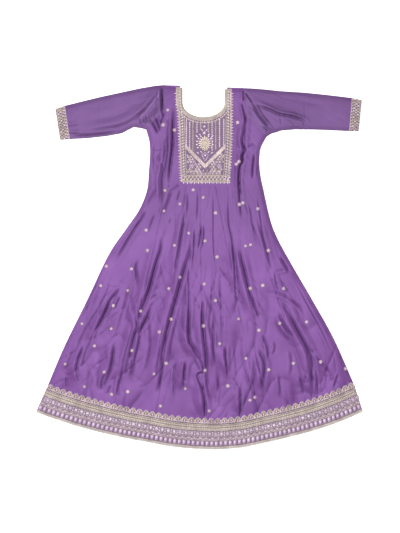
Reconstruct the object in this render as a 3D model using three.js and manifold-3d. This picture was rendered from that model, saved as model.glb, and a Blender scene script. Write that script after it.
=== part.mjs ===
// An anarkali kurta laid flat, front side up: a bodice with an embroidered yoke and a deep round neck,
// three-quarter sleeves with cuff bands, flared panels below and beside the bodice, and a hem band.
// Millimetres. +X runs to the right across the garment, +Y from hem to neck, +Z up off the table.
// The origin is the middle of the garment's box, on the table.
import * as THREE from "three";
import { mergeVertices } from "three/addons/utils/BufferGeometryUtils.js";
import Module from "manifold-3d";

const wasm = await Module();
wasm.setup();

// ---- Driving sizes ---------------------------------------------------------------------------
const LENGTH = 1348; // highest shoulder point to the lowest point of the hem
const HEM_WIDTH = 1208; // corner to corner, laid flat
const CLOTH = 1.3; // one layer with its seam allowances
const GAP = 0.3; // left between pieces, at seams and between layers
const AIR = 3; // how far the front stands off the back, away from the edges
const EDGE_ROLL = 22; // the front comes down to the back over about this distance from an edge
const BAND = 103; // depth of the embroidered hem band
const EMBROIDERY = 1; // thickness of the dense work on the yoke
const NECK = { x: 12, halfWidth: 78.5, springY: 608, drop: 55, rim: 7 };
const BACK_NECK_DEEPER = 6;
const FLARE = { x: 12, y: 700 }; // the point that the skirt's seams and hem curve are struck from

const SHOULDER_Y = 672; // the highest point of the shoulders, as the tables below count Y
const HEM_RADIUS = FLARE.y + LENGTH - SHOULDER_Y;
const BAND_RADIUS = HEM_RADIUS - BAND;
const FRONT_BASE = CLOTH + GAP; // lowest underside of the front, on top of the back
const WAIST_Y = 299;

// ---- Pattern tables --------------------------------------------------------------------------
// The bodice from the shoulders to the waist seam. Between left and right lie the yoke's two edges.
const BODICE = [
  { left: [-137, 672], yokeLeft: [-89, 664], yokeRight: [117, 658], right: [163, 661], steps: 1 },
  { left: [-137.6, 652], yokeLeft: [-88, 645], yokeRight: [117, 640], right: [164.4, 641], steps: 3 },
  { left: [-140, 573], yokeLeft: [-84, 573], yokeRight: [117.5, 565], right: [170, 561], steps: 2 },
  { left: [-107, 506], yokeLeft: [-79.5, 513], yokeRight: [117, 510], right: [165, 506], steps: 2 },
  { left: [-104, 440], yokeLeft: [-76, 440], yokeRight: [115, 440], right: [163, 440], steps: 2 },
  { left: [-111, 370], yokeLeft: [-71, 370], yokeRight: [110.5, 370], right: [155, 368], steps: 2 },
  { left: [-116.4, 306], yokeLeft: [-66.6, 306], yokeRight: [105.5, 304], right: [145, 302], steps: 1 },
  { left: [-117, WAIST_Y], yokeLeft: [-66, 298.2], yokeRight: [105, 295.6], right: [144, 295], steps: 1 },
];
const YOKE_ROWS = 7; // the yoke runs over the first rows of the bodice, down to this one

// The side panels from the armhole to the waist. The edge is the side seam of the garment.
const SIDE_LEFT = [
  { edge: [-200, 507], seam: BODICE[2].left },
  { edge: [-188, 462], seam: BODICE[3].left },
  { edge: [-186, 412], seam: BODICE[4].left },
  { edge: [-190, 355], seam: BODICE[5].left },
  { edge: [-197, 283], seam: BODICE[7].left },
];
const SIDE_RIGHT = [
  { edge: [244, 480], seam: BODICE[2].right },
  { edge: [224, 440], seam: BODICE[3].right },
  { edge: [218, 395], seam: BODICE[4].right },
  { edge: [222, 340], seam: BODICE[5].right },
  { edge: [234, 282], seam: BODICE[7].right },
];
// The same side seams on down to the hem band.
const FLARE_EDGE_LEFT = [
  [-226, 210],
  [-277, 136],
  [-340, 42],
  [-418, -123],
  [-500, -290],
  [-562, -436],
];
const FLARE_EDGE_RIGHT = [
  [259, 173],
  [288, 99],
  [345, -4],
  [414, -123],
  [496, -271],
  [572, -443],
];
// The skirt's seams: where each starts on the waist seam, and the angle at which it meets the band.
const SKIRT_SEAMS = [
  { waistX: -117, bandDegrees: -15.3 },
  { waistX: -53, bandDegrees: -8 },
  { waistX: 0, bandDegrees: 0 },
  { waistX: 58, bandDegrees: 9.3 },
  { waistX: 144, bandDegrees: 18.8 },
];
// The sleeves from armhole to cuff, a row per section. A section runs from its top edge by way of its
// bend to its under edge, and is straight where no bend is given.
const SLEEVE_LEFT = [
  { top: [-137, 672], bend: [-140, 573], under: [-200, 507] },
  { top: [-165, 670], bend: [-176, 575], under: [-216, 512] },
  { top: [-222, 660], bend: [-229, 574], under: [-246, 517] },
  { top: [-296, 644], under: [-290, 494] },
  { top: [-370, 628], under: [-350, 483] },
  { top: [-440, 611], under: [-420, 475.5] },
  { top: [-500, 596], under: [-481, 472.5] },
];
const SLEEVE_RIGHT = [
  { top: [163, 661], bend: [170, 561], under: [244, 480] },
  { top: [190, 660], bend: [209, 559], under: [262, 492] },
  { top: [240, 656], bend: [268, 564], under: [300, 504] },
  { top: [296, 650], under: [350, 508] },
  { top: [390, 644], under: [420, 507.5] },
  { top: [475, 635], under: [485, 505] },
  { top: [560, 624.6], under: [550, 502] },
];
const CUFF_LEFT = [
  { top: [-500, 596], under: [-481, 472.5] },
  { top: [-534, 585], under: [-516, 470] },
];
const CUFF_RIGHT = [
  { top: [560, 624.6], under: [550, 502] },
  { top: [597.5, 617], under: [586, 500.6] },
];
const BEND_SHARE = 0.6; // share of a section above its bend
const SLEEVE_COLUMNS = [0, 0.04, 0.15, 0.3, 0.45, BEND_SHARE, 0.74, 0.87, 0.96, 1];

// The largest folds of the upper layer. Each path is the foot of the fold's steep side, and its crest
// lies to the right of the way that the path runs.
const FOLDS = [
  { path: [[-104, 560], [-98, 506], [-101, 440], [-112, 370], [-117, 310]], width: 30, height: 6 },
  { path: [[160, 650], [169, 560], [160, 425], [144, 328], [151, 254], [170, 147]], width: 40, height: 6 },
  { path: [[-160, 635], [-228, 559], [-290, 520], [-404, 499], [-477, 487]], width: 46, height: 7 },
  { path: [[393, 524], [373, 546], [281, 572], [192, 604], [163, 634]], width: 44, height: 7 },
  { path: [[200, 584], [225, 548], [257, 516]], width: 34, height: 5 },
  { path: [[-200, 208], [-246, 131], [-283, 69], [-322, 1]], width: 42, height: 8 },
  { path: [[-107, 185], [-144, 72], [-178, -58], [-219, -178], [-262, -340], [-299, -482]], width: 52, height: 10 },
  { path: [[-42, 250], [-62, 151], [-84, 21], [-110, -61]], width: 38, height: 7 },
  { path: [[-17, 157], [-22, 100], [-59, -24], [-100, -168], [-139, -323], [-163, -518]], width: 56, height: 12 },
  { path: [[-36, -131], [-40, -260], [-4, -323], [9, -343]], width: 44, height: 9 },
  { path: [[6, -128], [16, -254], [26, -356], [19, -423]], width: 46, height: 11 },
  { path: [[-7, -396], [16, -472], [21, -560]], width: 50, height: 10 },
  { path: [[39, -195], [52, -313], [59, -373]], width: 40, height: 8 },
  { path: [[121, 100], [127, 49], [136, -33], [141, -104]], width: 46, height: 9 },
  { path: [[147, 77], [170, -33], [192, -121], [224, -201]], width: 50, height: 12 },
  { path: [[211, -287], [240, -363], [228, -465]], width: 48, height: 10 },
  { path: [[215, 191], [235, 106], [269, -22]], width: 40, height: 6 },
  { path: [[283, -160], [320, -228], [343, -260]], width: 38, height: 8 },
  { path: [[270, -108], [316, -148], [363, -234], [409, -330], [419, -445], [422, -500]], width: 60, height: 14 },
  { path: [[-299, -79], [-355, -181], [-386, -260], [-391, -313]], width: 44, height: 8 },
  { path: [[-176, -145], [-196, -198], [-233, -257]], width: 40, height: 8 },
  { path: [[-312, -264], [-328, -373], [-361, -459]], width: 46, height: 10 },
  { path: [[-421, -274], [-454, -366], [-445, -423]], width: 44, height: 9 },
  { path: [[95, -280], [97, -345], [112, -390]], width: 38, height: 7 },
  { path: [[151, -430], [151, -545]], width: 42, height: 7 },
  { path: [[-44, -340], [-57, -393], [-60, -460]], width: 42, height: 8 },
];
const CREST = 0.3; // the crest's place across a fold's width, counted from the steep foot
const TAPER = 0.22; // share of a fold's length over which each end fades out

// ---- Plane helpers ---------------------------------------------------------------------------
const mix = (a, b, t) => a + (b - a) * t;
const mixPoint = (a, b, t) => [mix(a[0], b[0], t), mix(a[1], b[1], t)];
const distance = (a, b) => Math.hypot(a[0] - b[0], a[1] - b[1]);
const smooth = (t) => t * t * (3 - 2 * t);
const clamp01 = (t) => Math.min(1, Math.max(0, t));
const radians = (degrees) => (degrees * Math.PI) / 180;

// A point at a radius and an angle from straight down, about the flare's centre, and back again.
const flarePoint = (radius, angle) => [
  FLARE.x + radius * Math.sin(angle),
  FLARE.y - radius * Math.cos(angle),
];
const flareRadius = ([x, y]) => Math.hypot(x - FLARE.x, y - FLARE.y);
const flareAngle = ([x, y]) => Math.atan2(x - FLARE.x, FLARE.y - y);

// Rows across the skirt are arcs about the flare's centre, and rows across the bodice are straight.
function across(a, b, t) {
  if (a[1] >= WAIST_Y - 20 || b[1] >= WAIST_Y - 20) return mixPoint(a, b, t);
  return flarePoint(mix(flareRadius(a), flareRadius(b), t), mix(flareAngle(a), flareAngle(b), t));
}

// The point of a smooth curve through all the points, at the start plus a share of one interval.
function onCurve(points, interval, share) {
  const spline = new THREE.SplineCurve(points.map(([x, y]) => new THREE.Vector2(x, y)));
  const p = spline.getPoint((interval + share) / (points.length - 1));
  return [p.x, p.y];
}

const skirtSeam = ({ waistX, bandDegrees }) => {
  const waist = [waistX, mix(WAIST_Y, 295, (waistX + 117) / 261)];
  return { waist, band: flarePoint(BAND_RADIUS, radians(bandDegrees)) };
};
const SEAMS = SKIRT_SEAMS.map(skirtSeam);

// The neck edge from one shoulder to the other: straight sides, then half an ellipse.
const NECK_TOP_Y = 690;
const NECK_ARC_STEPS = 18;
function neckEdge(outset, deeper = 0) {
  const halfWidth = NECK.halfWidth + outset;
  const drop = NECK.drop + outset + deeper;
  const arc = Array.from({ length: NECK_ARC_STEPS + 1 }, (_, i) => {
    const angle = Math.PI * (1 + i / NECK_ARC_STEPS);
    return [NECK.x + halfWidth * Math.cos(angle), NECK.springY + drop * Math.sin(angle)];
  });
  return [[NECK.x - halfWidth, NECK_TOP_Y], ...arc, [NECK.x + halfWidth, NECK_TOP_Y]];
}

// ---- The lie of the upper layer --------------------------------------------------------------
const HEM_STEPS = 24;
const hemCorner = (side) => Math.asin((side * HEM_WIDTH) / 2 / HEM_RADIUS - FLARE.x / HEM_RADIUS);
const hemArc = Array.from({ length: HEM_STEPS + 1 }, (_, i) =>
  flarePoint(HEM_RADIUS, mix(hemCorner(1), hemCorner(-1), i / HEM_STEPS)),
);
const neckInside = neckEdge(0).map(([x, y]) => [x, Math.min(y, 657)]);
const OUTLINE = [
  ...FLARE_EDGE_LEFT.toReversed(),
  ...SIDE_LEFT.map((row) => row.edge).toReversed(),
  ...SLEEVE_LEFT.map((row) => row.under),
  CUFF_LEFT[1].under,
  CUFF_LEFT[1].top,
  ...SLEEVE_LEFT.map((row) => row.top).toReversed(),
  BODICE[0].left,
  ...neckInside,
  BODICE[0].right,
  ...SLEEVE_RIGHT.map((row) => row.top),
  CUFF_RIGHT[1].top,
  CUFF_RIGHT[1].under,
  ...SLEEVE_RIGHT.map((row) => row.under).toReversed(),
  ...SIDE_RIGHT.map((row) => row.edge),
  ...FLARE_EDGE_RIGHT,
  ...hemArc,
];

// How far a point is from a path: sideways (positive to the right of its run) and the share along it.
function fromPath(path, point, closed = false) {
  const count = closed ? path.length : path.length - 1;
  let best = { away: Infinity, sideways: 0, along: 0 };
  let run = 0;
  const total = path.slice(1).reduce((sum, p, i) => sum + distance(path[i], p), 0);
  for (let i = 0; i < count; i++) {
    const a = path[i];
    const b = path[(i + 1) % path.length];
    const length = distance(a, b);
    const [dx, dy] = [b[0] - a[0], b[1] - a[1]];
    const [px, py] = [point[0] - a[0], point[1] - a[1]];
    const t = clamp01((px * dx + py * dy) / (length * length));
    const away = Math.hypot(px - t * dx, py - t * dy);
    if (away < best.away) {
      const side = Math.sign(px * dy - py * dx);
      best = { away, sideways: side * away, along: (run + t * length) / total };
    }
    run += length;
  }
  return best;
}

// A fold rises steeply from its path to the crest and falls away gently beyond it.
function foldLift(fold, point) {
  const { sideways, along } = fromPath(fold.path, point);
  const across = sideways / fold.width;
  if (across <= 0 || across >= 1) return 0;
  const rise = across < CREST ? smooth(across / CREST) : smooth((1 - across) / (1 - CREST));
  const fade = smooth(clamp01(Math.min(along, 1 - along) / TAPER));
  return fold.height * rise * fade;
}

// The dense embroidery of the hem band lies flatter than the plain cloth above it.
const bandCalm = (point) => mix(1, 0.45, smooth(clamp01((flareRadius(point) - BAND_RADIUS + 30) / 60)));

// Height of the top of the upper layer.
function topOf(point) {
  const { away } = fromPath(OUTLINE, point, true);
  const near = 1 - Math.exp(-away / EDGE_ROLL);
  const lift = FOLDS.reduce((sum, fold) => sum + foldLift(fold, point), 0);
  return FRONT_BASE + CLOTH + AIR * near + lift * bandCalm(point) * near;
}

// ---- Building cloth --------------------------------------------------------------------------
// A closed wall from a grid of points { xy, top, bottom }: top sheet, underside and rim.
function wall(grid) {
  const rows = grid.length;
  const columns = grid[0].length;
  const positions = [];
  for (const level of ["top", "bottom"])
    for (const row of grid) for (const p of row) positions.push(p.xy[0], p.xy[1], p[level]);
  const at = (r, c, under) => (under ? rows * columns : 0) + r * columns + c;
  const index = [];
  const quad = (a, b, c, d) => index.push(a, b, c, a, c, d);
  for (let r = 0; r < rows - 1; r++)
    for (let c = 0; c < columns - 1; c++) {
      quad(at(r, c), at(r + 1, c), at(r + 1, c + 1), at(r, c + 1));
      quad(at(r, c, 1), at(r, c + 1, 1), at(r + 1, c + 1, 1), at(r + 1, c, 1));
    }
  for (let r = 0; r < rows - 1; r++) {
    quad(at(r, 0), at(r, 0, 1), at(r + 1, 0, 1), at(r + 1, 0));
    quad(at(r, columns - 1), at(r + 1, columns - 1), at(r + 1, columns - 1, 1), at(r, columns - 1, 1));
  }
  for (let c = 0; c < columns - 1; c++) {
    quad(at(0, c), at(0, c + 1), at(0, c + 1, 1), at(0, c, 1));
    quad(at(rows - 1, c), at(rows - 1, c, 1), at(rows - 1, c + 1, 1), at(rows - 1, c + 1));
  }
  return geometryOf(positions, index);
}

function geometryOf(positions, index) {
  const geometry = new THREE.BufferGeometry();
  geometry.setAttribute("position", new THREE.Float32BufferAttribute(positions, 3));
  geometry.setIndex(index);
  geometry.computeVertexNormals();
  return geometry;
}

// Draws a grid's border in by half the seam gap.
function drawnIn(grid) {
  const toward = (p, q) => mixPoint(p, q, GAP / 2 / distance(p, q));
  const last = grid.length - 1;
  grid.forEach((row) => {
    row[0] = toward(row[0], row[1]);
    row[row.length - 1] = toward(row.at(-1), row.at(-2));
  });
  grid[0] = grid[0].map((p, c) => toward(p, grid[1][c]));
  grid[last] = grid[last].map((p, c) => toward(p, grid[last - 1][c]));
  return grid;
}

// A grid of plane points from rows of anchor points, with so many columns between the anchors.
function gridOf(anchorRows, columnCounts, stepCounts) {
  const grid = [];
  const edgeCurves = [0, anchorRows[0].length - 1].map((k) => anchorRows.map((row) => row[k]));
  anchorRows.forEach((row, i) => {
    const steps = i === anchorRows.length - 1 ? 1 : stepCounts[i];
    for (let s = 0; s < steps; s++) {
      const next = anchorRows[i + 1] ?? row;
      const anchors = row.map((p, k) => mixPoint(p, next[k], s / steps));
      grid.push(rowThrough(anchors, columnCounts));
    }
  });
  return { grid, edgeCurves };
}

function rowThrough(anchors, columnCounts) {
  const row = [anchors[0]];
  columnCounts.forEach((count, k) => {
    for (let c = 1; c <= count; c++) row.push(across(anchors[k], anchors[k + 1], c / count));
  });
  return row;
}

const frontWall = (grid) =>
  wall(
    grid.map((row) =>
      row.map((xy) => {
        const top = topOf(xy);
        return { xy, top, bottom: top - CLOTH };
      }),
    ),
  );
const backWall = (grid) =>
  wall(grid.map((row) => row.map((xy) => ({ xy, top: CLOTH, bottom: 0 }))));

// ---- Cutting with manifold-3d ----------------------------------------------------------------
function solidOf(geometry) {
  const bare = geometry.clone();
  bare.deleteAttribute("normal");
  bare.deleteAttribute("uv");
  const merged = mergeVertices(bare, 1e-3);
  return new wasm.Manifold(
    new wasm.Mesh({
      numProp: 3,
      vertProperties: merged.attributes.position.array,
      triVerts: new Uint32Array(merged.index.array),
    }),
  );
}

function cutBy(geometry, cutter) {
  const mesh = solidOf(geometry).subtract(solidOf(cutter)).getMesh();
  return geometryOf(Array.from(mesh.vertProperties), Array.from(mesh.triVerts));
}

function neckCutter(outset, deeper) {
  const shape = new THREE.Shape(neckEdge(outset, deeper).map(([x, y]) => new THREE.Vector2(x, y)));
  const cutter = new THREE.ExtrudeGeometry(shape, { depth: 80, bevelEnabled: false });
  return cutter.translate(0, 0, -20);
}

// ---- The pieces ------------------------------------------------------------------------------
const satin = (name, geometry) => {
  const material = new THREE.MeshStandardMaterial({ color: 0x8a5fa6, roughness: 0.5, metalness: 0 });
  return named(name, geometry, material);
};
const zari = (name, geometry) => {
  const material = new THREE.MeshStandardMaterial({ color: 0xbfae9c, roughness: 0.45, metalness: 0.3 });
  return named(name, geometry, material);
};
function named(name, geometry, material) {
  material.flatShading = true;
  const mesh = new THREE.Mesh(geometry, material);
  mesh.name = name;
  return mesh;
}

const stepsOf = (rows) => rows.map((row) => row.steps);

function frontYoke() {
  const rows = BODICE.map((r) => [r.left, r.yokeLeft, r.yokeRight, r.right]);
  const { grid } = gridOf(rows, [2, 8, 2], stepsOf(BODICE));
  return satin("front_bodice", cutBy(frontWall(drawnIn(grid)), neckCutter(NECK.rim + GAP, 0)));
}

// The dense work on the yoke is made from the bodice's own points, moved up off it.
function yokeEmbroidery() {
  const rows = BODICE.slice(0, YOKE_ROWS).map((r) => [r.yokeLeft, r.yokeRight]);
  const { grid } = gridOf(rows, [8], stepsOf(BODICE));
  const lying = grid.map((row) =>
    row.map((xy) => ({ xy, top: topOf(xy) + GAP + EMBROIDERY, bottom: topOf(xy) + GAP })),
  );
  return zari("yoke_embroidery", cutBy(wall(lying), neckCutter(NECK.rim + GAP, 0)));
}

function backBodice() {
  const rows = BODICE.map((r) => [r.left, r.right]);
  const { grid } = gridOf(rows, [8], stepsOf(BODICE));
  const cutter = neckCutter(NECK.rim + GAP, BACK_NECK_DEEPER);
  return satin("back_bodice", cutBy(backWall(drawnIn(grid)), cutter));
}

// The bound edge of the neck, a narrow strip from shoulder to shoulder with a rounded top.
function neckBinding(name, deeper, isFront) {
  const inner = neckEdge(0, deeper);
  const outer = neckEdge(NECK.rim, deeper);
  const shoulderY = (x) => mix(662, 656, (x + 67) / 158);
  const clip = ([x, y]) => [x, Math.min(y, shoulderY(x))];
  const grid = inner.map((p, i) => {
    const from = clip(p);
    const to = clip(outer[i]);
    return [1, 0.5, 0].map((t) => mixPoint(from, to, t));
  });
  const crown = [0, 1.4, 0];
  const section = (xy, c) => {
    if (!isFront) return { xy, top: CLOTH, bottom: 0 };
    const base = topOf(xy) - CLOTH;
    return { xy, top: base + CLOTH + crown[c], bottom: base };
  };
  return zari(name, wall(grid.map((row) => row.map(section))));
}

// Side panels run from the armhole to the hem band, beside the straight seam of the skirt.
function sideRows(side, flareEdge, seam) {
  const upper = side.map((row) => [row.edge, row.seam]);
  const first = flareRadius(side.at(-1).edge);
  const last = flareRadius(flareEdge.at(-1));
  const lower = flareEdge.map((edge) => {
    const share = (flareRadius(edge) - first) / (last - first);
    return [edge, mixPoint(seam.waist, seam.band, share)];
  });
  return [...upper, ...lower];
}

// The outer edge is a smooth curve through its table, and the inner seam runs straight between points.
function sideGrid(rows, columns, steps) {
  const edge = rows.map((row) => row[0]);
  const grid = [];
  rows.slice(0, -1).forEach((row, i) => {
    for (let s = 0; s < steps; s++) {
      const outer = onCurve(edge, i, s / steps);
      grid.push(rowThrough([outer, mixPoint(row[1], rows[i + 1][1], s / steps)], [columns]));
    }
  });
  grid.push(rowThrough(rows.at(-1), [columns]));
  return grid;
}

// Left panels are made edge first, so right ones are turned round to keep their faces outwards.
const facingUp = (grid, turned) => (turned ? grid.map((row) => row.toReversed()) : grid);

function sidePanel(name, side, flareEdge, seam, isRight, isFront) {
  const rows = sideRows(side, flareEdge, seam);
  const grid = sideGrid(rows, isFront ? 7 : 2, isFront ? 2 : 1);
  const laid = facingUp(drawnIn(grid), isRight);
  return satin(name, isFront ? frontWall(laid) : backWall(laid));
}

// A flared panel between two skirt seams, from the waist seam to the hem band.
function flaredPanel(name, from, to, columns, steps, isFront) {
  const rows = [
    [from.waist, to.waist],
    [from.band, to.band],
  ];
  const { grid } = gridOf(rows, [columns], [steps]);
  return satin(name, isFront ? frontWall(drawnIn(grid)) : backWall(drawnIn(grid)));
}

function hemBand(name, columns, steps, isFront) {
  const topLeft = flareAngle(FLARE_EDGE_LEFT.at(-1));
  const topRight = flareAngle(FLARE_EDGE_RIGHT.at(-1));
  const grid = Array.from({ length: steps + 1 }, (_, r) => {
    const down = r / steps;
    const from = mix(topLeft, hemCorner(-1), down);
    const to = mix(topRight, hemCorner(1), down);
    return Array.from({ length: columns + 1 }, (_, c) =>
      flarePoint(mix(BAND_RADIUS, HEM_RADIUS, down), mix(from, to, c / columns)),
    );
  });
  const inset = (GAP / 2) / BAND;
  const top = grid[0].map((p, c) => mixPoint(p, grid[steps][c], inset));
  grid[0] = top;
  return zari(name, isFront ? frontWall(grid) : backWall(grid));
}

// A flattened tube of cloth, folded along its top and under edges and open at both ends.
function tube(sections, steps, isLeft) {
  const rings = [];
  for (let i = 0; i < sections.length - 1; i++)
    for (let s = 0; s < steps; s++) rings.push(sectionAt(sections, i, s / steps));
  rings.push(sectionAt(sections, sections.length - 2, 1));
  return tubeGeometry(endsDrawnIn(rings), isLeft);
}

function sectionAt(sections, interval, share) {
  const [a, b] = [sections[interval], sections[interval + 1]];
  const bendOf = (row) => row.bend ?? mixPoint(row.top, row.under, BEND_SHARE);
  const top = mixPoint(a.top, b.top, share);
  const bend = mixPoint(bendOf(a), bendOf(b), share);
  const under = mixPoint(a.under, b.under, share);
  return SLEEVE_COLUMNS.map((c) =>
    c <= BEND_SHARE
      ? mixPoint(top, bend, c / BEND_SHARE)
      : mixPoint(bend, under, (c - BEND_SHARE) / (1 - BEND_SHARE)),
  );
}

function endsDrawnIn(rings) {
  const toward = (p, q) => mixPoint(p, q, GAP / 2 / distance(p, q));
  const last = rings.length - 1;
  rings[0] = rings[0].map((p, c) => toward(p, rings[1][c]));
  rings[last] = rings[last].map((p, c) => toward(p, rings[last - 1][c]));
  return rings;
}

const FOLD_EDGE_Z = CLOTH + GAP / 2; // the middle of the two layers, where they fold into each other

function tubeGeometry(rings, isLeft) {
  const count = SLEEVE_COLUMNS.length;
  const around = 2 * count - 2;
  const positions = [];
  const loop = (ring, inner) => {
    const thick = inner ? CLOTH : 0;
    const edgeIn = (c, neighbour) => mixPoint(ring[c], ring[neighbour], thick / distance(ring[c], ring[neighbour]));
    for (let c = 0; c < count; c++) {
      const isEdge = c === 0 || c === count - 1;
      const xy = isEdge ? edgeIn(c, c === 0 ? 1 : count - 2) : ring[c];
      positions.push(xy[0], xy[1], isEdge ? FOLD_EDGE_Z : topOf(ring[c]) - thick);
    }
    for (let c = count - 2; c > 0; c--) positions.push(ring[c][0], ring[c][1], thick);
  };
  rings.forEach((ring) => loop(ring, false));
  rings.forEach((ring) => loop(ring, true));
  const at = (r, k, inner) => (inner ? rings.length * around : 0) + r * around + (k % around);
  const index = [];
  const quad = (a, b, c, d) => (isLeft ? index.push(a, b, c, a, c, d) : index.push(a, c, b, a, d, c));
  for (let k = 0; k < around; k++) {
    for (let r = 0; r < rings.length - 1; r++) {
      quad(at(r, k), at(r + 1, k), at(r + 1, k + 1), at(r, k + 1));
      quad(at(r, k, 1), at(r, k + 1, 1), at(r + 1, k + 1, 1), at(r + 1, k, 1));
    }
    const end = rings.length - 1;
    quad(at(0, k), at(0, k + 1), at(0, k + 1, 1), at(0, k, 1));
    quad(at(end, k), at(end, k, 1), at(end, k + 1, 1), at(end, k + 1));
  }
  return geometryOf(positions, index);
}

// ---- The garment -----------------------------------------------------------------------------
const kurta = new THREE.Group();

const front = new THREE.Group();
front.add(frontYoke(), yokeEmbroidery(), neckBinding("neck_binding_front", 0, true));
front.add(sidePanel("front_side_left", SIDE_LEFT, FLARE_EDGE_LEFT, SEAMS[0], false, true));
front.add(sidePanel("front_side_right", SIDE_RIGHT, FLARE_EDGE_RIGHT, SEAMS[4], true, true));
for (let k = 0; k < SEAMS.length - 1; k++)
  front.add(flaredPanel(`front_kali_${k + 1}`, SEAMS[k], SEAMS[k + 1], 8, 20, true));
front.add(hemBand("hem_band_front", 56, 3, true));

const back = new THREE.Group();
back.add(backBodice(), neckBinding("neck_binding_back", BACK_NECK_DEEPER, false));
back.add(sidePanel("back_side_left", SIDE_LEFT, FLARE_EDGE_LEFT, SEAMS[0], false, false));
back.add(sidePanel("back_side_right", SIDE_RIGHT, FLARE_EDGE_RIGHT, SEAMS[4], true, false));
back.add(flaredPanel("back_kali_left", SEAMS[0], SEAMS[2], 6, 4, false));
back.add(flaredPanel("back_kali_right", SEAMS[2], SEAMS[4], 6, 4, false));
back.add(hemBand("hem_band_back", 40, 1, false));

const sleeves = new THREE.Group();
sleeves.add(satin("sleeve_left", tube(SLEEVE_LEFT, 2, true)));
sleeves.add(satin("sleeve_right", tube(SLEEVE_RIGHT, 2, false)));
sleeves.add(zari("cuff_left", tube(CUFF_LEFT, 2, true)));
sleeves.add(zari("cuff_right", tube(CUFF_RIGHT, 2, false)));

kurta.add(front, back, sleeves);
kurta.position.y = LENGTH / 2 - SHOULDER_Y; // brings the middle of the length to the origin

export default kurta;
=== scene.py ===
# %% [markdown]
# # An anarkali kurta, laid flat
#
# The real thing is a full-length flared kurta of purple silk satin with dull gold zari work on its
# yoke, cuffs and hem. It lies on its back with its front up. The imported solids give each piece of
# cloth its place and its large folds. Here every piece becomes a thin shell with all its creases,
# and the embroidery is laid on top thread by thread.

# %% Load the solids that everything is fitted to
import math

import bmesh
import bpy
import numpy as np
from mathutils import Matrix, Vector


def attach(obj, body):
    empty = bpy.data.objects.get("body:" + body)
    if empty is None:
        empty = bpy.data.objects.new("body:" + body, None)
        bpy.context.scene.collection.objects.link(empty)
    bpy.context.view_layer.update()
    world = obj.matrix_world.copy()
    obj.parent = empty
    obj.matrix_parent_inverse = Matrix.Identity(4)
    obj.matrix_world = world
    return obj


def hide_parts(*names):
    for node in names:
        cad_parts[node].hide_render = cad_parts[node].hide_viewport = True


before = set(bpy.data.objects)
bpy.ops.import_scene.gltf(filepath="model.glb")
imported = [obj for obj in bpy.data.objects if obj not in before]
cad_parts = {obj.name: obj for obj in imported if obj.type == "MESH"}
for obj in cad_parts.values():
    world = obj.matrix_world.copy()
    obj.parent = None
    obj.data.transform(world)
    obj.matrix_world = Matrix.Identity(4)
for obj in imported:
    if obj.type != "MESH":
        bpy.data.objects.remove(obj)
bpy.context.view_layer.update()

# %% [markdown]
# ## Sizes
#
# All the tables are in millimetres on the table top, X across and Y up towards the neck. The cloth
# table counts Y from the waist, 2 mm off the frame's own middle, so one shift brings it home.

# %% Sizes of the cut and of the lie
MM = 0.001
SHIFT_Y = 2.0  # from the tables' Y to the frame's Y
CLOTH = 1.3  # one layer with its seam allowances
LAYER_GAP = 0.3
AIR = 3.0  # how far the front stands off the back, away from the edges
EDGE_ROLL = 22.0
FRONT_TOP = CLOTH + LAYER_GAP + CLOTH
BAND = 103.0
FLARE = np.array([12.0, 700.0])  # the hem and the skirt's rows are struck from here
HEM_RADIUS = 1376.0
BAND_RADIUS = HEM_RADIUS - BAND
WAIST_Y = 299.0
FRONT_LOWEST = 2.5  # top of the front where it touches the back
BACK_TOP = 1.25  # top of the back where it lies flat on the table
FLOOR_AIR = 0.1  # under the lower layer of a sleeve
SOFTEN = 0.35  # how softly the front comes down on the back
LOFT = 1.2  # the fine creases lie about this much above the flat front
CELL, BACK_CELL = 3.7, 9  # the mesh of a front piece and of a back one
SEWN_IN = 0.3  # share of a petal's or bead's height that is below the cloth's face


def smooth(t):
    t = np.clip(t, 0, 1)
    return t * t * (3 - 2 * t)


def mix(a, b, t):
    return a + (b - a) * t


def curve_through(points, steps=8):
    """A smooth line through the points, with so many steps between two of them."""
    p = np.array(points, float)
    p = np.vstack([2 * p[0] - p[1], p, 2 * p[-1] - p[-2]])
    t = np.linspace(0, 1, steps, endpoint=False)[:, None]
    spans = []
    for a, b, c, d in zip(p[:-3], p[1:-2], p[2:-1], p[3:]):
        square, cube = 2 * a - 5 * b + 4 * c - d, 3 * b - a - 3 * c + d
        spans.append(0.5 * (2 * b + (c - a) * t + square * t**2 + cube * t**3))
    return np.vstack(spans + [p[-2:-1]])


def along(line, t):
    """Points at shares t of a line's length."""
    line = np.array(line, float)
    run = np.concatenate([[0], np.cumsum(np.linalg.norm(np.diff(line, axis=0), axis=1))])
    at = np.asarray(t) * run[-1]
    return np.stack([np.interp(at, run, line[:, k]) for k in (0, 1)], axis=-1)


def flare_point(radius, angle):
    return np.stack([FLARE[0] + radius * np.sin(angle), FLARE[1] - radius * np.cos(angle)], axis=-1)


def flare_of(p):
    d = np.asarray(p, float) - FLARE
    return np.hypot(d[..., 0], d[..., 1]), np.arctan2(d[..., 0], -d[..., 1])


print("hem struck at", HEM_RADIUS, "mm, its band", BAND, "mm deep")

# %% [markdown]
# ## The cut
#
# The bodice is one panel from the shoulders to the waist seam. Beside it a side panel runs from the
# armhole down to the hem band, and four flared kalis hang from the waist seam. The tables repeat the
# corners of the solids' own pattern.

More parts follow.
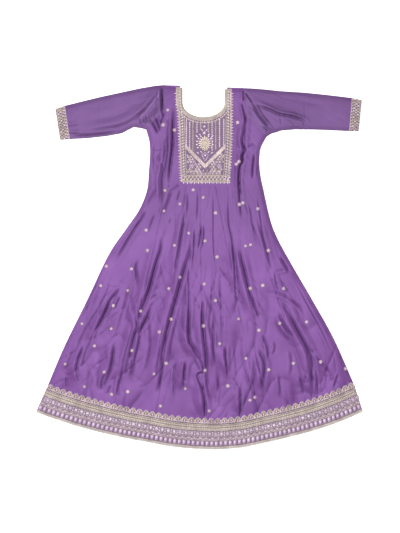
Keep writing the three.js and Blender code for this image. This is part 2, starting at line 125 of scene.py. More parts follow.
# %% The pattern's edges
BODICE_LEFT = [(-117, 299), (-111, 370), (-104, 440), (-107, 506), (-140, 573), (-137, 672)]
BODICE_RIGHT = [(144, 295), (155, 368), (163, 440), (165, 506), (170, 561), (163, 661)]
SIDE_LEFT = [(-562, -436), (-500, -290), (-418, -123), (-340, 42), (-277, 136), (-226, 210), (-197, 283),
             (-190, 355), (-186, 412), (-188, 462), (-200, 507)]
SIDE_RIGHT = [(572, -443), (496, -271), (414, -123), (345, -4), (288, 99), (259, 173), (234, 282),
              (222, 340), (218, 395), (224, 440), (244, 480)]
SKIRT_SEAMS = [
    {"waist": (-117, 299), "band_degrees": -15.3},
    {"waist": (-53, 298), "band_degrees": -8.0},
    {"waist": (0, 297.2), "band_degrees": 0.0},
    {"waist": (58, 296.3), "band_degrees": 9.3},
    {"waist": (144, 295), "band_degrees": 18.8},
]
SLEEVE_LEFT = [
    {"top": (-137, 672), "bend": (-140, 573), "under": (-200, 507)},
    {"top": (-165, 670), "bend": (-176, 575), "under": (-216, 512)},
    {"top": (-222, 660), "bend": (-229, 574), "under": (-246, 517)},
    {"top": (-296, 644), "bend": (-292.4, 554), "under": (-290, 494)},
    {"top": (-370, 628), "bend": (-358, 541), "under": (-350, 483)},
    {"top": (-440, 611), "bend": (-428, 529.7), "under": (-420, 475.5)},
    {"top": (-500, 596), "bend": (-488.6, 521.9), "under": (-481, 472.5)},
]
SLEEVE_RIGHT = [
    {"top": (163, 661), "bend": (170, 561), "under": (244, 480)},
    {"top": (190, 660), "bend": (209, 559), "under": (262, 492)},
    {"top": (240, 656), "bend": (268, 564), "under": (300, 504)},
    {"top": (296, 650), "bend": (328.4, 564.8), "under": (350, 508)},
    {"top": (390, 644), "bend": (408, 562.1), "under": (420, 507.5)},
    {"top": (475, 635), "bend": (481, 557), "under": (485, 505)},
    {"top": (560, 624.6), "bend": (554, 551), "under": (550, 502)},
]
CUFF_LEFT = [SLEEVE_LEFT[-1], {"top": (-536.5, 584.5), "bend": (-525.7, 515.6), "under": (-518.5, 469.7)}]
CUFF_RIGHT = [SLEEVE_RIGHT[-1], {"top": (597.5, 617), "bend": (590.6, 547.2), "under": (586, 500.6)}]
BEND_SHARE = 0.6
NECK = {"x": 12.0, "half_width": 78.5, "spring_y": 608.0, "drop": 55.0, "rim": 10.0}
BACK_NECK_DEEPER = 6.0


def seam_ends(seam):
    return flare_point(BAND_RADIUS, math.radians(seam["band_degrees"])), np.array(seam["waist"], float)


def hem_corner(side):
    return math.asin((side * 604 - FLARE[0]) / HEM_RADIUS)


def neck_line(outset=0.0, deeper=0.0, steps=36):
    """The neck edge from the left shoulder, round the front and up to the right shoulder."""
    half, drop = NECK["half_width"] + outset, NECK["drop"] + outset + deeper
    turn = np.linspace(math.pi, 2 * math.pi, steps + 1)
    arc = np.stack([NECK["x"] + half * np.cos(turn), NECK["spring_y"] + drop * np.sin(turn)], axis=1)
    left_top, right_top = (arc[0][0], 662.5), (arc[-1][0], 656.5)
    return np.vstack([[left_top], arc, [right_top]])


# A full circle's arc would be rounder than this hem, which is drawn in a little between its middle
# and its corners: degrees round the flare, and mm outwards.
HEM_DRAWN_IN = [(-26.6, 7), (-24, 2), (-22, -2), (-18, -8), (-14, -12), (-9, -13), (-5, -7), (-1, -3),
                (2, 0), (6, -1), (10, -8), (14, -10), (20, -8), (25.5, -8)]


def droop(xy):
    radius, angle = flare_of(xy)
    drawn = np.interp(np.degrees(angle), *np.array(HEM_DRAWN_IN).T)
    return flare_point(radius + drawn * smooth((radius - 800) / (BAND_RADIUS - 800)), angle)


hem_line = droop(flare_point(HEM_RADIUS, np.linspace(hem_corner(1), hem_corner(-1), 49)))
OUTLINE = np.vstack([
    curve_through(SIDE_LEFT, 5),
    [s["under"] for s in SLEEVE_LEFT], [CUFF_LEFT[1]["under"], CUFF_LEFT[1]["top"]],
    [s["top"] for s in SLEEVE_LEFT[::-1]],
    neck_line(),
    [s["top"] for s in SLEEVE_RIGHT], [CUFF_RIGHT[1]["top"], CUFF_RIGHT[1]["under"]],
    [s["under"] for s in SLEEVE_RIGHT[::-1]],
    curve_through(SIDE_RIGHT, 5)[::-1],
    hem_line,
])
print("outline points:", len(OUTLINE))

# %% [markdown]
# ## How the front lies
#
# Laid satin isn't smooth: the flare falls into long soft folds that run down the skirt, each a gentle
# rise with one steep side, and between them are finer creases and the lines of the seams. The lie is
# one height for each place on the table, so every piece that is cut from it meets its neighbours.
# The first table has the large folds of the solids, and the second the finer creases.

# %% Folds and creases
FOLDS = [
    {"path": [(-104, 560), (-98, 506), (-101, 440), (-112, 370), (-117, 310)], "width": 30, "height": 6},
    {"path": [(160, 650), (169, 560), (160, 425), (144, 328), (151, 254), (170, 147)],
     "width": 40, "height": 6},
    {"path": [(-160, 635), (-228, 559), (-290, 520), (-404, 499), (-477, 487)], "width": 46, "height": 5.5},
    {"path": [(393, 524), (373, 546), (281, 572), (192, 604), (163, 634)], "width": 30, "height": 2.2},
    {"path": [(200, 584), (225, 548), (257, 516)], "width": 24, "height": 1.6},
    {"path": [(-262, 522), (-231, 552), (-199, 587), (-174, 622), (-152, 664)], "width": 50, "height": 9},
    {"path": [(-200, 208), (-246, 131), (-283, 69), (-322, 1)], "width": 42, "height": 8},
    {"path": [(-107, 185), (-144, 72), (-178, -58), (-219, -178), (-262, -340), (-299, -482)],
     "width": 52, "height": 10},
    {"path": [(-42, 250), (-62, 151), (-84, 21), (-110, -61)], "width": 38, "height": 7},
    {"path": [(-17, 157), (-22, 100), (-59, -24), (-100, -168), (-139, -323), (-163, -518)],
     "width": 56, "height": 12},
    {"path": [(-36, -131), (-40, -260), (-4, -323), (9, -343)], "width": 44, "height": 9},
    {"path": [(6, -128), (16, -254), (26, -356), (19, -423)], "width": 46, "height": 11},
    {"path": [(-7, -396), (16, -472), (21, -560)], "width": 50, "height": 10},
    {"path": [(39, -195), (52, -313), (59, -373)], "width": 40, "height": 8},
    {"path": [(121, 100), (127, 49), (136, -33), (141, -104)], "width": 46, "height": 9},
    {"path": [(147, 77), (170, -33), (192, -121), (224, -201)], "width": 50, "height": 12},
    {"path": [(211, -287), (240, -363), (228, -465)], "width": 48, "height": 10},
    {"path": [(215, 191), (235, 106), (269, -22)], "width": 40, "height": 6},
    {"path": [(283, -160), (320, -228), (343, -260)], "width": 38, "height": 8},
    {"path": [(270, -108), (316, -148), (363, -234), (409, -330), (419, -445), (422, -500)],
     "width": 60, "height": 14},
    {"path": [(-299, -79), (-355, -181), (-386, -260), (-391, -313)], "width": 44, "height": 8},
    {"path": [(-176, -145), (-196, -198), (-233, -257)], "width": 40, "height": 8},
    {"path": [(-312, -264), (-328, -373), (-361, -459)], "width": 46, "height": 10},
    {"path": [(-421, -274), (-454, -366), (-445, -423)], "width": 44, "height": 9},
    {"path": [(95, -280), (97, -345), (112, -390)], "width": 38, "height": 7},
    {"path": [(151, -430), (151, -545)], "width": 42, "height": 7},
    {"path": [(-44, -340), (-57, -393), (-60, -460)], "width": 42, "height": 8},
]
# A crease falls from its right-hand side over "fall" and comes up again over "rise", all in mm.
CREASES = [
    # bodice and armholes
    {"path": [(-128, 500), (-122, 446), (-124, 409), (-132, 364), (-141, 322), (-140, 262), (-146, 205)],
     "fall": 20, "rise": 8, "depth": 5.6},
    {"path": [(-162, 424), (-150, 396), (-132, 360)], "fall": 16, "rise": 12, "depth": 2.6},
    {"path": [(-139, 674), (-139, 636), (-138, 596), (-137, 548)], "fall": 13, "rise": 5, "depth": 6.6},
    {"path": [(-128, 590), (-136, 552), (-150, 512)], "fall": 11, "rise": 6, "depth": 3.0},
    {"path": [(-92, 612), (-97, 545), (-99, 491), (-101, 446), (-103, 413), (-107, 364), (-116, 300)],
     "fall": 15, "rise": 6, "depth": 6.4},
    {"path": [(-170, 470), (-176, 400), (-170, 330)], "fall": 16, "rise": 10, "depth": 2.2},
    {"path": [(-148, 503), (-158, 532), (-170, 562)], "fall": 9, "rise": 6, "depth": 3.6},
    {"path": [(-156, 488), (-172, 520), (-188, 546)], "fall": 11, "rise": 7, "depth": 4.8},
    {"path": [(-193, 530), (-203, 560)], "fall": 5, "rise": 4, "depth": 3.2},
    {"path": [(-205, 526), (-214, 556)], "fall": 5, "rise": 4, "depth": 3.4},
    {"path": [(-219, 523), (-228, 548)], "fall": 5, "rise": 4, "depth": 2.8},
    {"path": [(-188, 430), (-134, 432)], "fall": 5, "rise": 5, "depth": 1.3},
    {"path": [(154, 612), (164, 569), (173, 526)], "fall": 10, "rise": 5, "depth": 5.0},
    {"path": [(160, 657), (161, 630), (160, 608)], "fall": 8, "rise": 5, "depth": 4.2},
    {"path": [(163, 652), (180, 627), (199, 603)], "fall": 9, "rise": 5, "depth": 4.0},
    {"path": [(128, 300), (130, 350), (127, 400)], "fall": 8, "rise": 6, "depth": 1.6},
    {"path": [(162, 536), (160, 500), (157, 462), (169, 430), (158, 409), (158, 388), (148, 364), (146, 322),
              (149, 281), (152, 247)],
     "fall": 14, "rise": 6, "depth": 6.4},
    {"path": [(174, 440), (186, 450), (203, 457)], "fall": 10, "rise": 7, "depth": 2.4},
    {"path": [(203, 424), (196, 366), (194, 318)], "fall": 11, "rise": 6, "depth": 3.6},
    {"path": [(214, 380), (211, 330)], "fall": 8, "rise": 6, "depth": 1.0},
    {"path": [(256, 505), (250, 517), (230, 540), (206, 575), (190, 613)],
     "fall": 10, "rise": 5, "depth": 5.6},
    {"path": [(252, 494), (240, 512), (226, 520)], "fall": 6, "rise": 4, "depth": 2.0},
    {"path": [(268, 500), (254, 519)], "fall": 6, "rise": 4, "depth": 1.8},
    # sleeves
    {"path": [(-445, 534), (-471, 521), (-506, 524)], "fall": 9, "rise": 6, "depth": 1.9},
    {"path": [(-430, 500), (-462, 491), (-504, 494)], "fall": 9, "rise": 6, "depth": 1.6},
    {"path": [(-378, 622), (-377, 560), (-374, 505)], "fall": 7, "rise": 7, "depth": 0.5},
    {"path": [(-300, 500), (-360, 488), (-440, 482), (-500, 484)], "fall": 16, "rise": 10, "depth": 3.4},
    {"path": [(384, 634), (386, 575), (388, 520)], "fall": 6, "rise": 6, "depth": 0.5},
    {"path": [(399, 518), (391, 531), (385, 539), (364, 547), (337, 555), (292, 563), (262, 577), (231, 590),
              (196, 604)],
     "fall": 10, "rise": 5, "depth": 6.0},
    {"path": [(500, 596), (420, 600), (330, 618), (250, 634)], "fall": 26, "rise": 18, "depth": 0.9},
    {"path": [(295, 554), (298, 527)], "fall": 5, "rise": 4, "depth": 1.4},
    {"path": [(358, 516), (342, 532), (322, 545), (303, 548)], "fall": 6, "rise": 4, "depth": 1.8},
    {"path": [(392, 518), (383, 529), (386, 539)], "fall": 5, "rise": 4, "depth": 2.6},
    {"path": [(330, 517), (372, 514)], "fall": 6, "rise": 5, "depth": 1.6},
    # top of the skirt
    {"path": [(-73, 290), (-79, 262), (-86, 236)], "fall": 8, "rise": 5, "depth": 1.8},
    {"path": [(-45, 290), (-49, 180), (-75, 129)], "fall": 8, "rise": 5, "depth": 1.6},
    {"path": [(-8, 290), (-10, 203), (-16, 151)], "fall": 7, "rise": 5, "depth": 1.6},
    {"path": [(49, 290), (49, 180), (50, 77), (60, -20)], "fall": 6, "rise": 5, "depth": 1.5},
    {"path": [(105, 292), (106, 166), (120, 88), (132, -101), (138, -171)],
     "fall": 9, "rise": 6, "depth": 2.6},
    {"path": [(143, 295), (148, 236), (156, 170)], "fall": 12, "rise": 6, "depth": 2.4},
    {"path": [(5, 154), (-1, 99), (-8, 62)], "fall": 7, "rise": 5, "depth": 2.8},
    {"path": [(14, 160), (12, 99), (2, 58)], "fall": 6, "rise": 4, "depth": 2.6},
    {"path": [(-19, 151), (-23, 60), (-28, 0)], "fall": 8, "rise": 5, "depth": 2.4},
    {"path": [(-105, 180), (-116, 158)], "fall": 7, "rise": 5, "depth": 1.4},
    {"path": [(-164, 202), (-184, 151), (-190, 120)], "fall": 8, "rise": 8, "depth": 1.6},
    {"path": [(-73, 306), (-92, 290), (-113, 278)], "fall": 12, "rise": 9, "depth": 2.2},
    {"path": [(-104, 300), (-111, 262), (-128, 214), (-142, 176)], "fall": 16, "rise": 9, "depth": 3.4},
    {"path": [(-160, 300), (-176, 262), (-204, 222)], "fall": 14, "rise": 10, "depth": 2.6},
    {"path": [(-200, 215), (-214, 176), (-240, 140)], "fall": 12, "rise": 8, "depth": 2.6},
    {"path": [(212, 262), (224, 180), (238, 110)], "fall": 8, "rise": 6, "depth": 1.4},
    {"path": [(180, 250), (196, 150), (212, 60)], "fall": 9, "rise": 6, "depth": 1.6},
    # left of the skirt
    {"path": [(-138, 117), (-145, 58), (-164, 7), (-180, -53), (-188, -86), (-209, -138)],
     "fall": 12, "rise": 6, "depth": 2.6},
    {"path": [(-223, 32), (-235, -1), (-230, -53), (-239, -86)], "fall": 14, "rise": 7, "depth": 3.6},
    {"path": [(-358, -66), (-308, -74), (-294, -60)], "fall": 5, "rise": 5, "depth": 1.2},
    {"path": [(-290, -74), (-315, -105), (-334, -129), (-349, -171), (-367, -210)],
     "fall": 15, "rise": 7, "depth": 4.2},
    {"path": [(-294, -105), (-308, -138), (-318, -164)], "fall": 8, "rise": 6, "depth": 2.8},
    {"path": [(-201, -142), (-180, -116), (-154, -95)], "fall": 12, "rise": 8, "depth": 2.4},
    {"path": [(-180, -145), (-197, -185), (-214, -227), (-236, -262)], "fall": 22, "rise": 7, "depth": 5.0},
    {"path": [(-405, -125), (-422, -155), (-439, -189)], "fall": 6, "rise": 5, "depth": 1.8},
    {"path": [(-495, -404), (-493, -452)], "fall": 9, "rise": 5, "depth": 3.4},
    {"path": [(-456, -395), (-449, -430)], "fall": 8, "rise": 6, "depth": 2.4},
    {"path": [(-401, -400), (-404, -450)], "fall": 9, "rise": 7, "depth": 2.0},
    {"path": [(-340, -385), (-362, -420), (-363, -462)], "fall": 12, "rise": 6, "depth": 3.6},
    {"path": [(-329, -434), (-345, -475)], "fall": 9, "rise": 6, "depth": 2.8},
    {"path": [(-290, -395), (-301, -445), (-302, -492)], "fall": 14, "rise": 6, "depth": 4.0},
    {"path": [(-255, -60), (-270, -130), (-300, -220), (-310, -280)], "fall": 16, "rise": 10, "depth": 2.2},
    {"path": [(-345, -20), (-372, -80), (-400, -150), (-428, -230)], "fall": 16, "rise": 12, "depth": 1.8},
    {"path": [(-470, -300), (-486, -345), (-505, -395)], "fall": 10, "rise": 8, "depth": 2.0},
    {"path": [(-262, -300), (-250, -360), (-262, -420)], "fall": 14, "rise": 9, "depth": 2.4},
    # middle of the skirt
    {"path": [(-40, 14), (-41, -108), (-40, -267), (-36, -350)], "fall": 9, "rise": 6, "depth": 2.6},
    {"path": [(12, -110), (9, -175), (8, -235)], "fall": 9, "rise": 5, "depth": 3.4},
    {"path": [(49, -190), (51, -250), (52, -305)], "fall": 10, "rise": 6, "depth": 3.6},
    {"path": [(64, 14), (101, -47), (125, -96)], "fall": 10, "rise": 8, "depth": 1.8},
    {"path": [(-145, -317), (-138, -366), (-156, -471)], "fall": 13, "rise": 6, "depth": 4.0},
    {"path": [(-53, -342), (-58, -403), (-40, -440)], "fall": 10, "rise": 6, "depth": 3.0},
    {"path": [(-40, -267), (-16, -317), (15, -385), (-9, -403), (15, -471)],
     "fall": 11, "rise": 6, "depth": 3.8},
    {"path": [(18, -490), (19, -530), (20, -566)], "fall": 11, "rise": 5, "depth": 4.4},
    {"path": [(151, -500), (148, -530), (147, -556)], "fall": 8, "rise": 5, "depth": 3.0},
    {"path": [(-88, -330), (-96, -400), (-92, -500)], "fall": 12, "rise": 8, "depth": 2.2},
    {"path": [(62, -390), (72, -450), (70, -540)], "fall": 12, "rise": 8, "depth": 2.0},
    {"path": [(95, -342), (98, -375), (103, -410)], "fall": 9, "rise": 6, "depth": 3.0},
    {"path": [(120, -405), (131, -425), (145, -445)], "fall": 10, "rise": 7, "depth": 2.8},
    {"path": [(36, -60), (70, -130), (96, -190)], "fall": 12, "rise": 8, "depth": 1.6},
    # right of the skirt
    {"path": [(295, 43), (317, 3), (334, -22)], "fall": 14, "rise": 6, "depth": 3.4},
    {"path": [(276, -20), (302, -12), (330, -12)], "fall": 8, "rise": 6, "depth": 1.8},
    {"path": [(276, -10), (284, -70), (300, -96)], "fall": 9, "rise": 6, "depth": 1.6},
    {"path": [(236, -90), (280, -96), (322, -112), (372, -150), (392, -208)],
     "fall": 13, "rise": 8, "depth": 2.6},
    {"path": [(188, -90), (204, -150), (226, -208)], "fall": 9, "rise": 6, "depth": 2.6},
    {"path": [(226, -240), (250, -300), (254, -350)], "fall": 12, "rise": 6, "depth": 3.4},
    {"path": [(272, -270), (278, -300), (268, -330)], "fall": 10, "rise": 8, "depth": 2.0},
    {"path": [(291, -190), (317, -230), (347, -262)], "fall": 13, "rise": 7, "depth": 3.4},
    {"path": [(365, -400), (376, -436), (384, -480)], "fall": 11, "rise": 6, "depth": 3.2},
    {"path": [(291, -397), (296, -440), (299, -488)], "fall": 12, "rise": 8, "depth": 2.8},
    {"path": [(513, -392), (503, -420), (494, -452)], "fall": 9, "rise": 6, "depth": 3.0},
    {"path": [(404, -270), (424, -360), (434, -430), (436, -492)], "fall": 14, "rise": 7, "depth": 4.0},
    {"path": [(463, -330), (470, -390), (462, -450)], "fall": 12, "rise": 9, "depth": 1.8},
    {"path": [(344, -40), (398, -140), (452, -240), (492, -330)], "fall": 8, "rise": 8, "depth": 1.6},
    {"path": [(330, -300), (340, -350), (336, -410)], "fall": 14, "rise": 9, "depth": 2.2},
    {"path": [(196, -300), (200, -380), (190, -470)], "fall": 12, "rise": 8, "depth": 2.2},
]
CREST, TAPER, LIP, FOLD_SHARE, CREASE_WIDTH = 0.3, 0.36, 0.3, 0.62, 0.74
print("folds:", len(FOLDS), "creases:", len(CREASES))

# %% Height of the front at any place
def from_line(line, points, closed=False):
    """Distance from a line, signed to the right of its run, and the share of the run."""
    line = np.asarray(line, float)
    ends = np.roll(line, -1, axis=0) if closed else line[1:]
    starts = line if closed else line[:-1]
    lengths = np.linalg.norm(ends - starts, axis=1)
    run, total = np.concatenate([[0], np.cumsum(lengths)]), lengths.sum()
    best = np.full(len(points), np.inf)
    signed, share = np.zeros(len(points)), np.zeros(len(points))
    for a, b, length, start in zip(starts, ends, lengths, run):
        if length < 1e-6:
            continue
        d, q = (b - a) / length, points - a
        t = np.clip(q @ d, 0, length)
        away = np.linalg.norm(q - t[:, None] * d, axis=1)
        nearer = away < best
        side = np.sign(q[:, 0] * d[1] - q[:, 1] * d[0])
        best = np.where(nearer, away, best)
        signed = np.where(nearer, side * away, signed)
        share = np.where(nearer, (start + t) / total, share)
    return best, signed, share


def near_only(points, line, reach):
    low, high = np.min(line, axis=0) - reach, np.max(line, axis=0) + reach
    return np.flatnonzero(((points > low) & (points < high)).all(axis=1))


def add_fold(heights, points, fold):
    """The solids' own fold, with a low lip beyond its steep foot."""
    line = curve_through(fold["path"], 6) if len(fold["path"]) > 2 else np.array(fold["path"], float)
    here = near_only(points, line, fold["width"])
    _, side, share = from_line(line, points[here])
    across = side / fold["width"]
    hill = np.where(across < CREST, smooth(across / CREST), smooth((1 - across) / (1 - CREST)))
    hill = np.where((across > 0) & (across < 1), hill, 0)
    lip = -across / 0.55
    low = np.where(lip < 0.3, smooth(lip / 0.3), smooth((1 - lip) / 0.7))
    low = np.where((lip > 0) & (lip < 1), low, 0)
    fade = smooth(np.minimum(share, 1 - share) / TAPER)
    heights[here] += fold["height"] * (hill + LIP * low) * fade


def add_crease(heights, points, crease):
    line = curve_through(crease["path"], 6) if len(crease["path"]) > 2 else np.array(crease["path"], float)
    fall, rise = CREASE_WIDTH * crease["fall"], CREASE_WIDTH * crease["rise"]
    here = near_only(points, line, 2.5 * max(fall, rise))
    _, side, share = from_line(line, points[here])
    down = np.exp(-np.abs(side) / np.where(side > 0, 0.6 * fall, 0.6 * rise))
    swell = np.where(side > 0, np.exp(-((side / fall - 1.15) / 0.55) ** 2), 0)
    fade = smooth(np.minimum(share, 1 - share) / 0.3)
    heights[here] += crease["depth"] * (0.45 * swell - 0.58 * down) * fade


# The back lies on the table, nearly flat. It still has the shallow folds of a skirt that has been
# smoothed by hand, up to 2 mm off the table, which show from below.
BACK_CREASES = [
    {"path": [(-60, 240), (-150, -60), (-250, -420)], "half": 20, "height": 1.9},
    {"path": [(10, 250), (-10, -60), (-30, -520)], "half": 17, "height": 1.6},
    {"path": [(60, 220), (120, -80), (210, -480)], "half": 22, "height": 2.0},
    {"path": [(120, 260), (230, -40), (400, -400)], "half": 18, "height": 1.7},
    {"path": [(-120, 250), (-250, -10), (-420, -360)], "half": 19, "height": 1.8},
    {"path": [(-40, 40), (-70, -200), (-90, -470)], "half": 12, "height": 1.3},
    {"path": [(90, 20), (110, -200), (130, -470)], "half": 12, "height": 1.2},
    {"path": [(-150, 480), (-120, 330), (-160, 150)], "half": 16, "height": 1.5},
    {"path": [(180, 470), (160, 330), (200, 160)], "half": 15, "height": 1.4},
    {"path": [(-90, 620), (-60, 500), (-70, 340)], "half": 14, "height": 1.1},
    {"path": [(110, 610), (90, 480), (110, 340)], "half": 14, "height": 1.1},
    {"path": [(-200, 620), (-320, 560), (-440, 545)], "half": 14, "height": 1.3},
    {"path": [(220, 600), (350, 575), (500, 560)], "half": 14, "height": 1.3},
]


def back_lift(xy):
    away, _, _ = from_line(OUTLINE, xy, closed=True)
    lift = np.zeros(len(xy))
    for crease in BACK_CREASES:
        line = curve_through(crease["path"], 5)
        here = near_only(xy, line, crease["half"])
        gone, _, share = from_line(line, xy[here])
        fade = smooth(np.minimum(share, 1 - share) / 0.25)
        lift[here] += crease["height"] * smooth(1 - gone / crease["half"]) * fade
    return np.minimum(lift, 2.0) * (1 - np.exp(-away / EDGE_ROLL))


SEAM_LINES = [
    (0.4, BODICE_LEFT), (0.4, BODICE_RIGHT),
    (0.08, [BODICE_LEFT[0], BODICE_RIGHT[0]]),
    (0.25, [BODICE_LEFT[4], SIDE_LEFT[-1]]), (0.25, [BODICE_RIGHT[4], SIDE_RIGHT[-1]]),
    *[(0.45, seam_ends(s)) for s in SKIRT_SEAMS],
]


def patchy(a, b, seed):
    """Smooth uneven values from 0 to 1, about one swell to each unit, the same on every run."""
    i, j = np.floor(a), np.floor(b)
    fa, fb = (f**3 * (f * (f * 6 - 15) + 10) for f in (a - i, b - j))

    def corner(di, dj):
        value = np.sin((i + di) * 127.1 + (j + dj) * 311.7 + seed * 74.7) * 43758.5453
        return value - np.floor(value)
    return mix(mix(corner(0, 0), corner(1, 0), fa), mix(corner(0, 1), corner(1, 1), fa), fb)


# Silk that has been folded away keeps a net of crisp shallow valleys with flat cloth between them.
# Each row: mm across, mm along, lean, depth in mm, and how narrow the valleys are.
CRUMPLE = [
    (40, 210, 0.0, 2.5, 3.6), (52, 190, 0.4, 2.1, 3.2), (46, 210, -0.34, 2.0, 3.2),
    (19, 110, 0.12, 0.8, 2.0), (32, 95, 0.6, 1.0, 2.8), (30, 90, -0.6, 1.0, 2.8),
]


def crumple(points):
    radius, angle = flare_of(points)
    across = angle * 1000
    total = 1.6 * (patchy(across / 62, radius / 330, 3) - 0.5)
    for k, (wide, long, lean, depth, narrow) in enumerate(CRUMPLE):
        a, b = across + lean * radius, radius - lean * across
        bent = 0.9 * patchy(a / 95, b / 150, 5 + k)
        valley = 1 - np.abs(2 * patchy(a / wide + bent, b / long, 11 + k) - 1)
        present = smooth((patchy(a / 130, b / 240, 21 + k) - 0.34) / 0.36)
        total -= depth * valley**narrow * present
    skirt = smooth((70 - points[:, 1]) / 260) * mix(1, 1.3, smooth((-250 - points[:, 1]) / 150))
    return total * mix(0.16, 1, skirt)


def relief(points, near=1.0, settle=1.0):
    """Folds, creases and seams in mm; near and settle flatten them towards the garment's edge."""
    radius, _ = flare_of(points)
    calm = mix(1, 0.45, smooth((radius - BAND_RADIUS + 30) / 60))
    large, fine = np.zeros(len(points)), np.zeros(len(points))
    for fold in FOLDS:
        add_fold(large, points, fold)
    for crease in CREASES:
        add_crease(fine, points, crease)
    for sunk, seam in SEAM_LINES:
        here = near_only(points, seam, 12)
        seam_away, _, _ = from_line(seam, points[here])
        fine[here] -= sunk * np.exp(-((seam_away / 2.8) ** 2))
    fine += LOFT + crumple(points) * near * mix(1, 1.6, smooth((1 - calm) / 0.5))
    return FOLD_SHARE * large * calm * near + fine * calm * settle


def lie(points):
    """Height of the top of the front, in mm, at places on the table."""
    points = np.asarray(points, float)
    away, _, _ = from_line(OUTLINE, points, closed=True)
    near = 1 - np.exp(-away / EDGE_ROLL)
    top = FRONT_TOP + AIR * near + relief(points, near, np.minimum(1, away / 14))
    lowest = FRONT_LOWEST + back_lift(points)  # the front can't sink into the back
    return np.logaddexp(top / SOFTEN, lowest / SOFTEN) * SOFTEN


# %% [markdown]
# Light is lost at the bottom of a crease, where satin looks at satin. A render finds some of this by
# itself, but a shallow crease on a bright table shows too little, so painted shade darkens the satin's
# colour there. A place gets painted shade by as much as it is lower than the mean of the 15 mm square
# round it. The relief is taken once for the whole garment, on a grid of 3 mm, so that the painted shade
# runs on across the seams.

# %% Map of the painted shade in the creases
MAP_STEP, MAP_REACH = 3.0, 2
MAP_LOW = np.array([-630.0, -700.0])
MAP_COUNT = (421, 468)
PAINTED_SHADE_FROM, PAINTED_SHADE_SPAN = 0.06, 0.8  # mm below the mean at which the tone starts, and over which it grows


def mean_round(grid):
    for axis in (0, 1):
        pad = [(MAP_REACH, MAP_REACH) if k == axis else (0, 0) for k in (0, 1)]
        wide = np.pad(grid, pad, mode="edge")
        count = grid.shape[axis]
        shifts = range(2 * MAP_REACH + 1)
        grid = sum(np.take(wide, range(k, k + count), axis=axis) for k in shifts) / len(shifts)
    return grid


map_lines = [MAP_LOW[k] + MAP_STEP * np.arange(MAP_COUNT[k]) for k in (0, 1)]
map_places = np.stack(np.meshgrid(*map_lines, indexing="ij"), axis=-1)
map_relief = relief(map_places.reshape(-1, 2)).reshape(MAP_COUNT)
PAINTED_SHADE_MAP = np.clip((mean_round(map_relief) - map_relief - PAINTED_SHADE_FROM) / PAINTED_SHADE_SPAN, 0, 1)


def painted_shade_at(xy):
    """How much painted shade each place gets from how deep it lies in a crease, as a share from 0 to 1."""
    at = np.clip((xy - MAP_LOW) / MAP_STEP, 0, np.array(MAP_COUNT) - 1.001)
    i, j = at.astype(int).T
    a, b = (at - np.floor(at)).T
    near, far = mix(PAINTED_SHADE_MAP[i, j], PAINTED_SHADE_MAP[i + 1, j], a), mix(PAINTED_SHADE_MAP[i, j + 1], PAINTED_SHADE_MAP[i + 1, j + 1], a)
    return mix(near, far, b)


print("share of the map in a hollow:", round(float((PAINTED_SHADE_MAP > 0.2).mean()), 3))

# %% [markdown]
# ## Finishes
#
# Silk satin shows a soft broad sheen, and painted shade darkens its colour in the folds. Zari is a
# metal-wrapped thread, laid side by side and sewn down, which reads as dull beige gold. Beads and
# sequins are the brightest points. Each colour is a screen colour turned to light by one function.

# %% Colour and node helpers
def light_of(code):
    """A screen colour such as #8a61a2 as the light values that a shader takes."""
    parts = [int(code[i:i + 2], 16) / 255 for i in (1, 3, 5)]
    return [p / 12.92 if p <= 0.04045 else ((p + 0.055) / 1.055) ** 2.4 for p in parts] + [1.0]


def add(tree, kind, inputs=None, **settings):
    """A node with its settings, and with a value or a link at each named input."""
    made = tree.nodes.new(kind)
    for name, value in settings.items():
        setattr(made, name, value)
    for name, value in (inputs or {}).items():
        if isinstance(value, bpy.types.NodeSocket):
            tree.links.new(value, made.inputs[name])
        else:
            made.inputs[name].default_value = value
    return made


def new_material(name, shader_values):
    material = bpy.data.materials.new(name)
    material.use_nodes = True
    tree = material.node_tree
    tree.nodes.clear()
    shader = add(tree, "ShaderNodeBsdfPrincipled", shader_values)
    output = add(tree, "ShaderNodeOutputMaterial")
    tree.links.new(shader.outputs[0], output.inputs["Surface"])
    return material, tree, shader


def colour_steps(tree, value, stops):
    ramp = add(tree, "ShaderNodeValToRGB", {"Fac": value})
    for end, (position, code) in zip(ramp.color_ramp.elements, (stops[0], stops[-1])):
        end.position, end.color = position, light_of(code)
    for position, code in stops[1:-1]:
        ramp.color_ramp.elements.new(position).color = light_of(code)
    return ramp.outputs["Color"]


def blended(tree, way, factor, a, b):
    """Two colours mixed in one node; each is a colour or a link."""
    mixed = add(tree, "ShaderNodeMix", {"Factor": factor, "A": a, "B": b},
                data_type="RGBA", blend_type=way)
    return mixed.outputs[2]
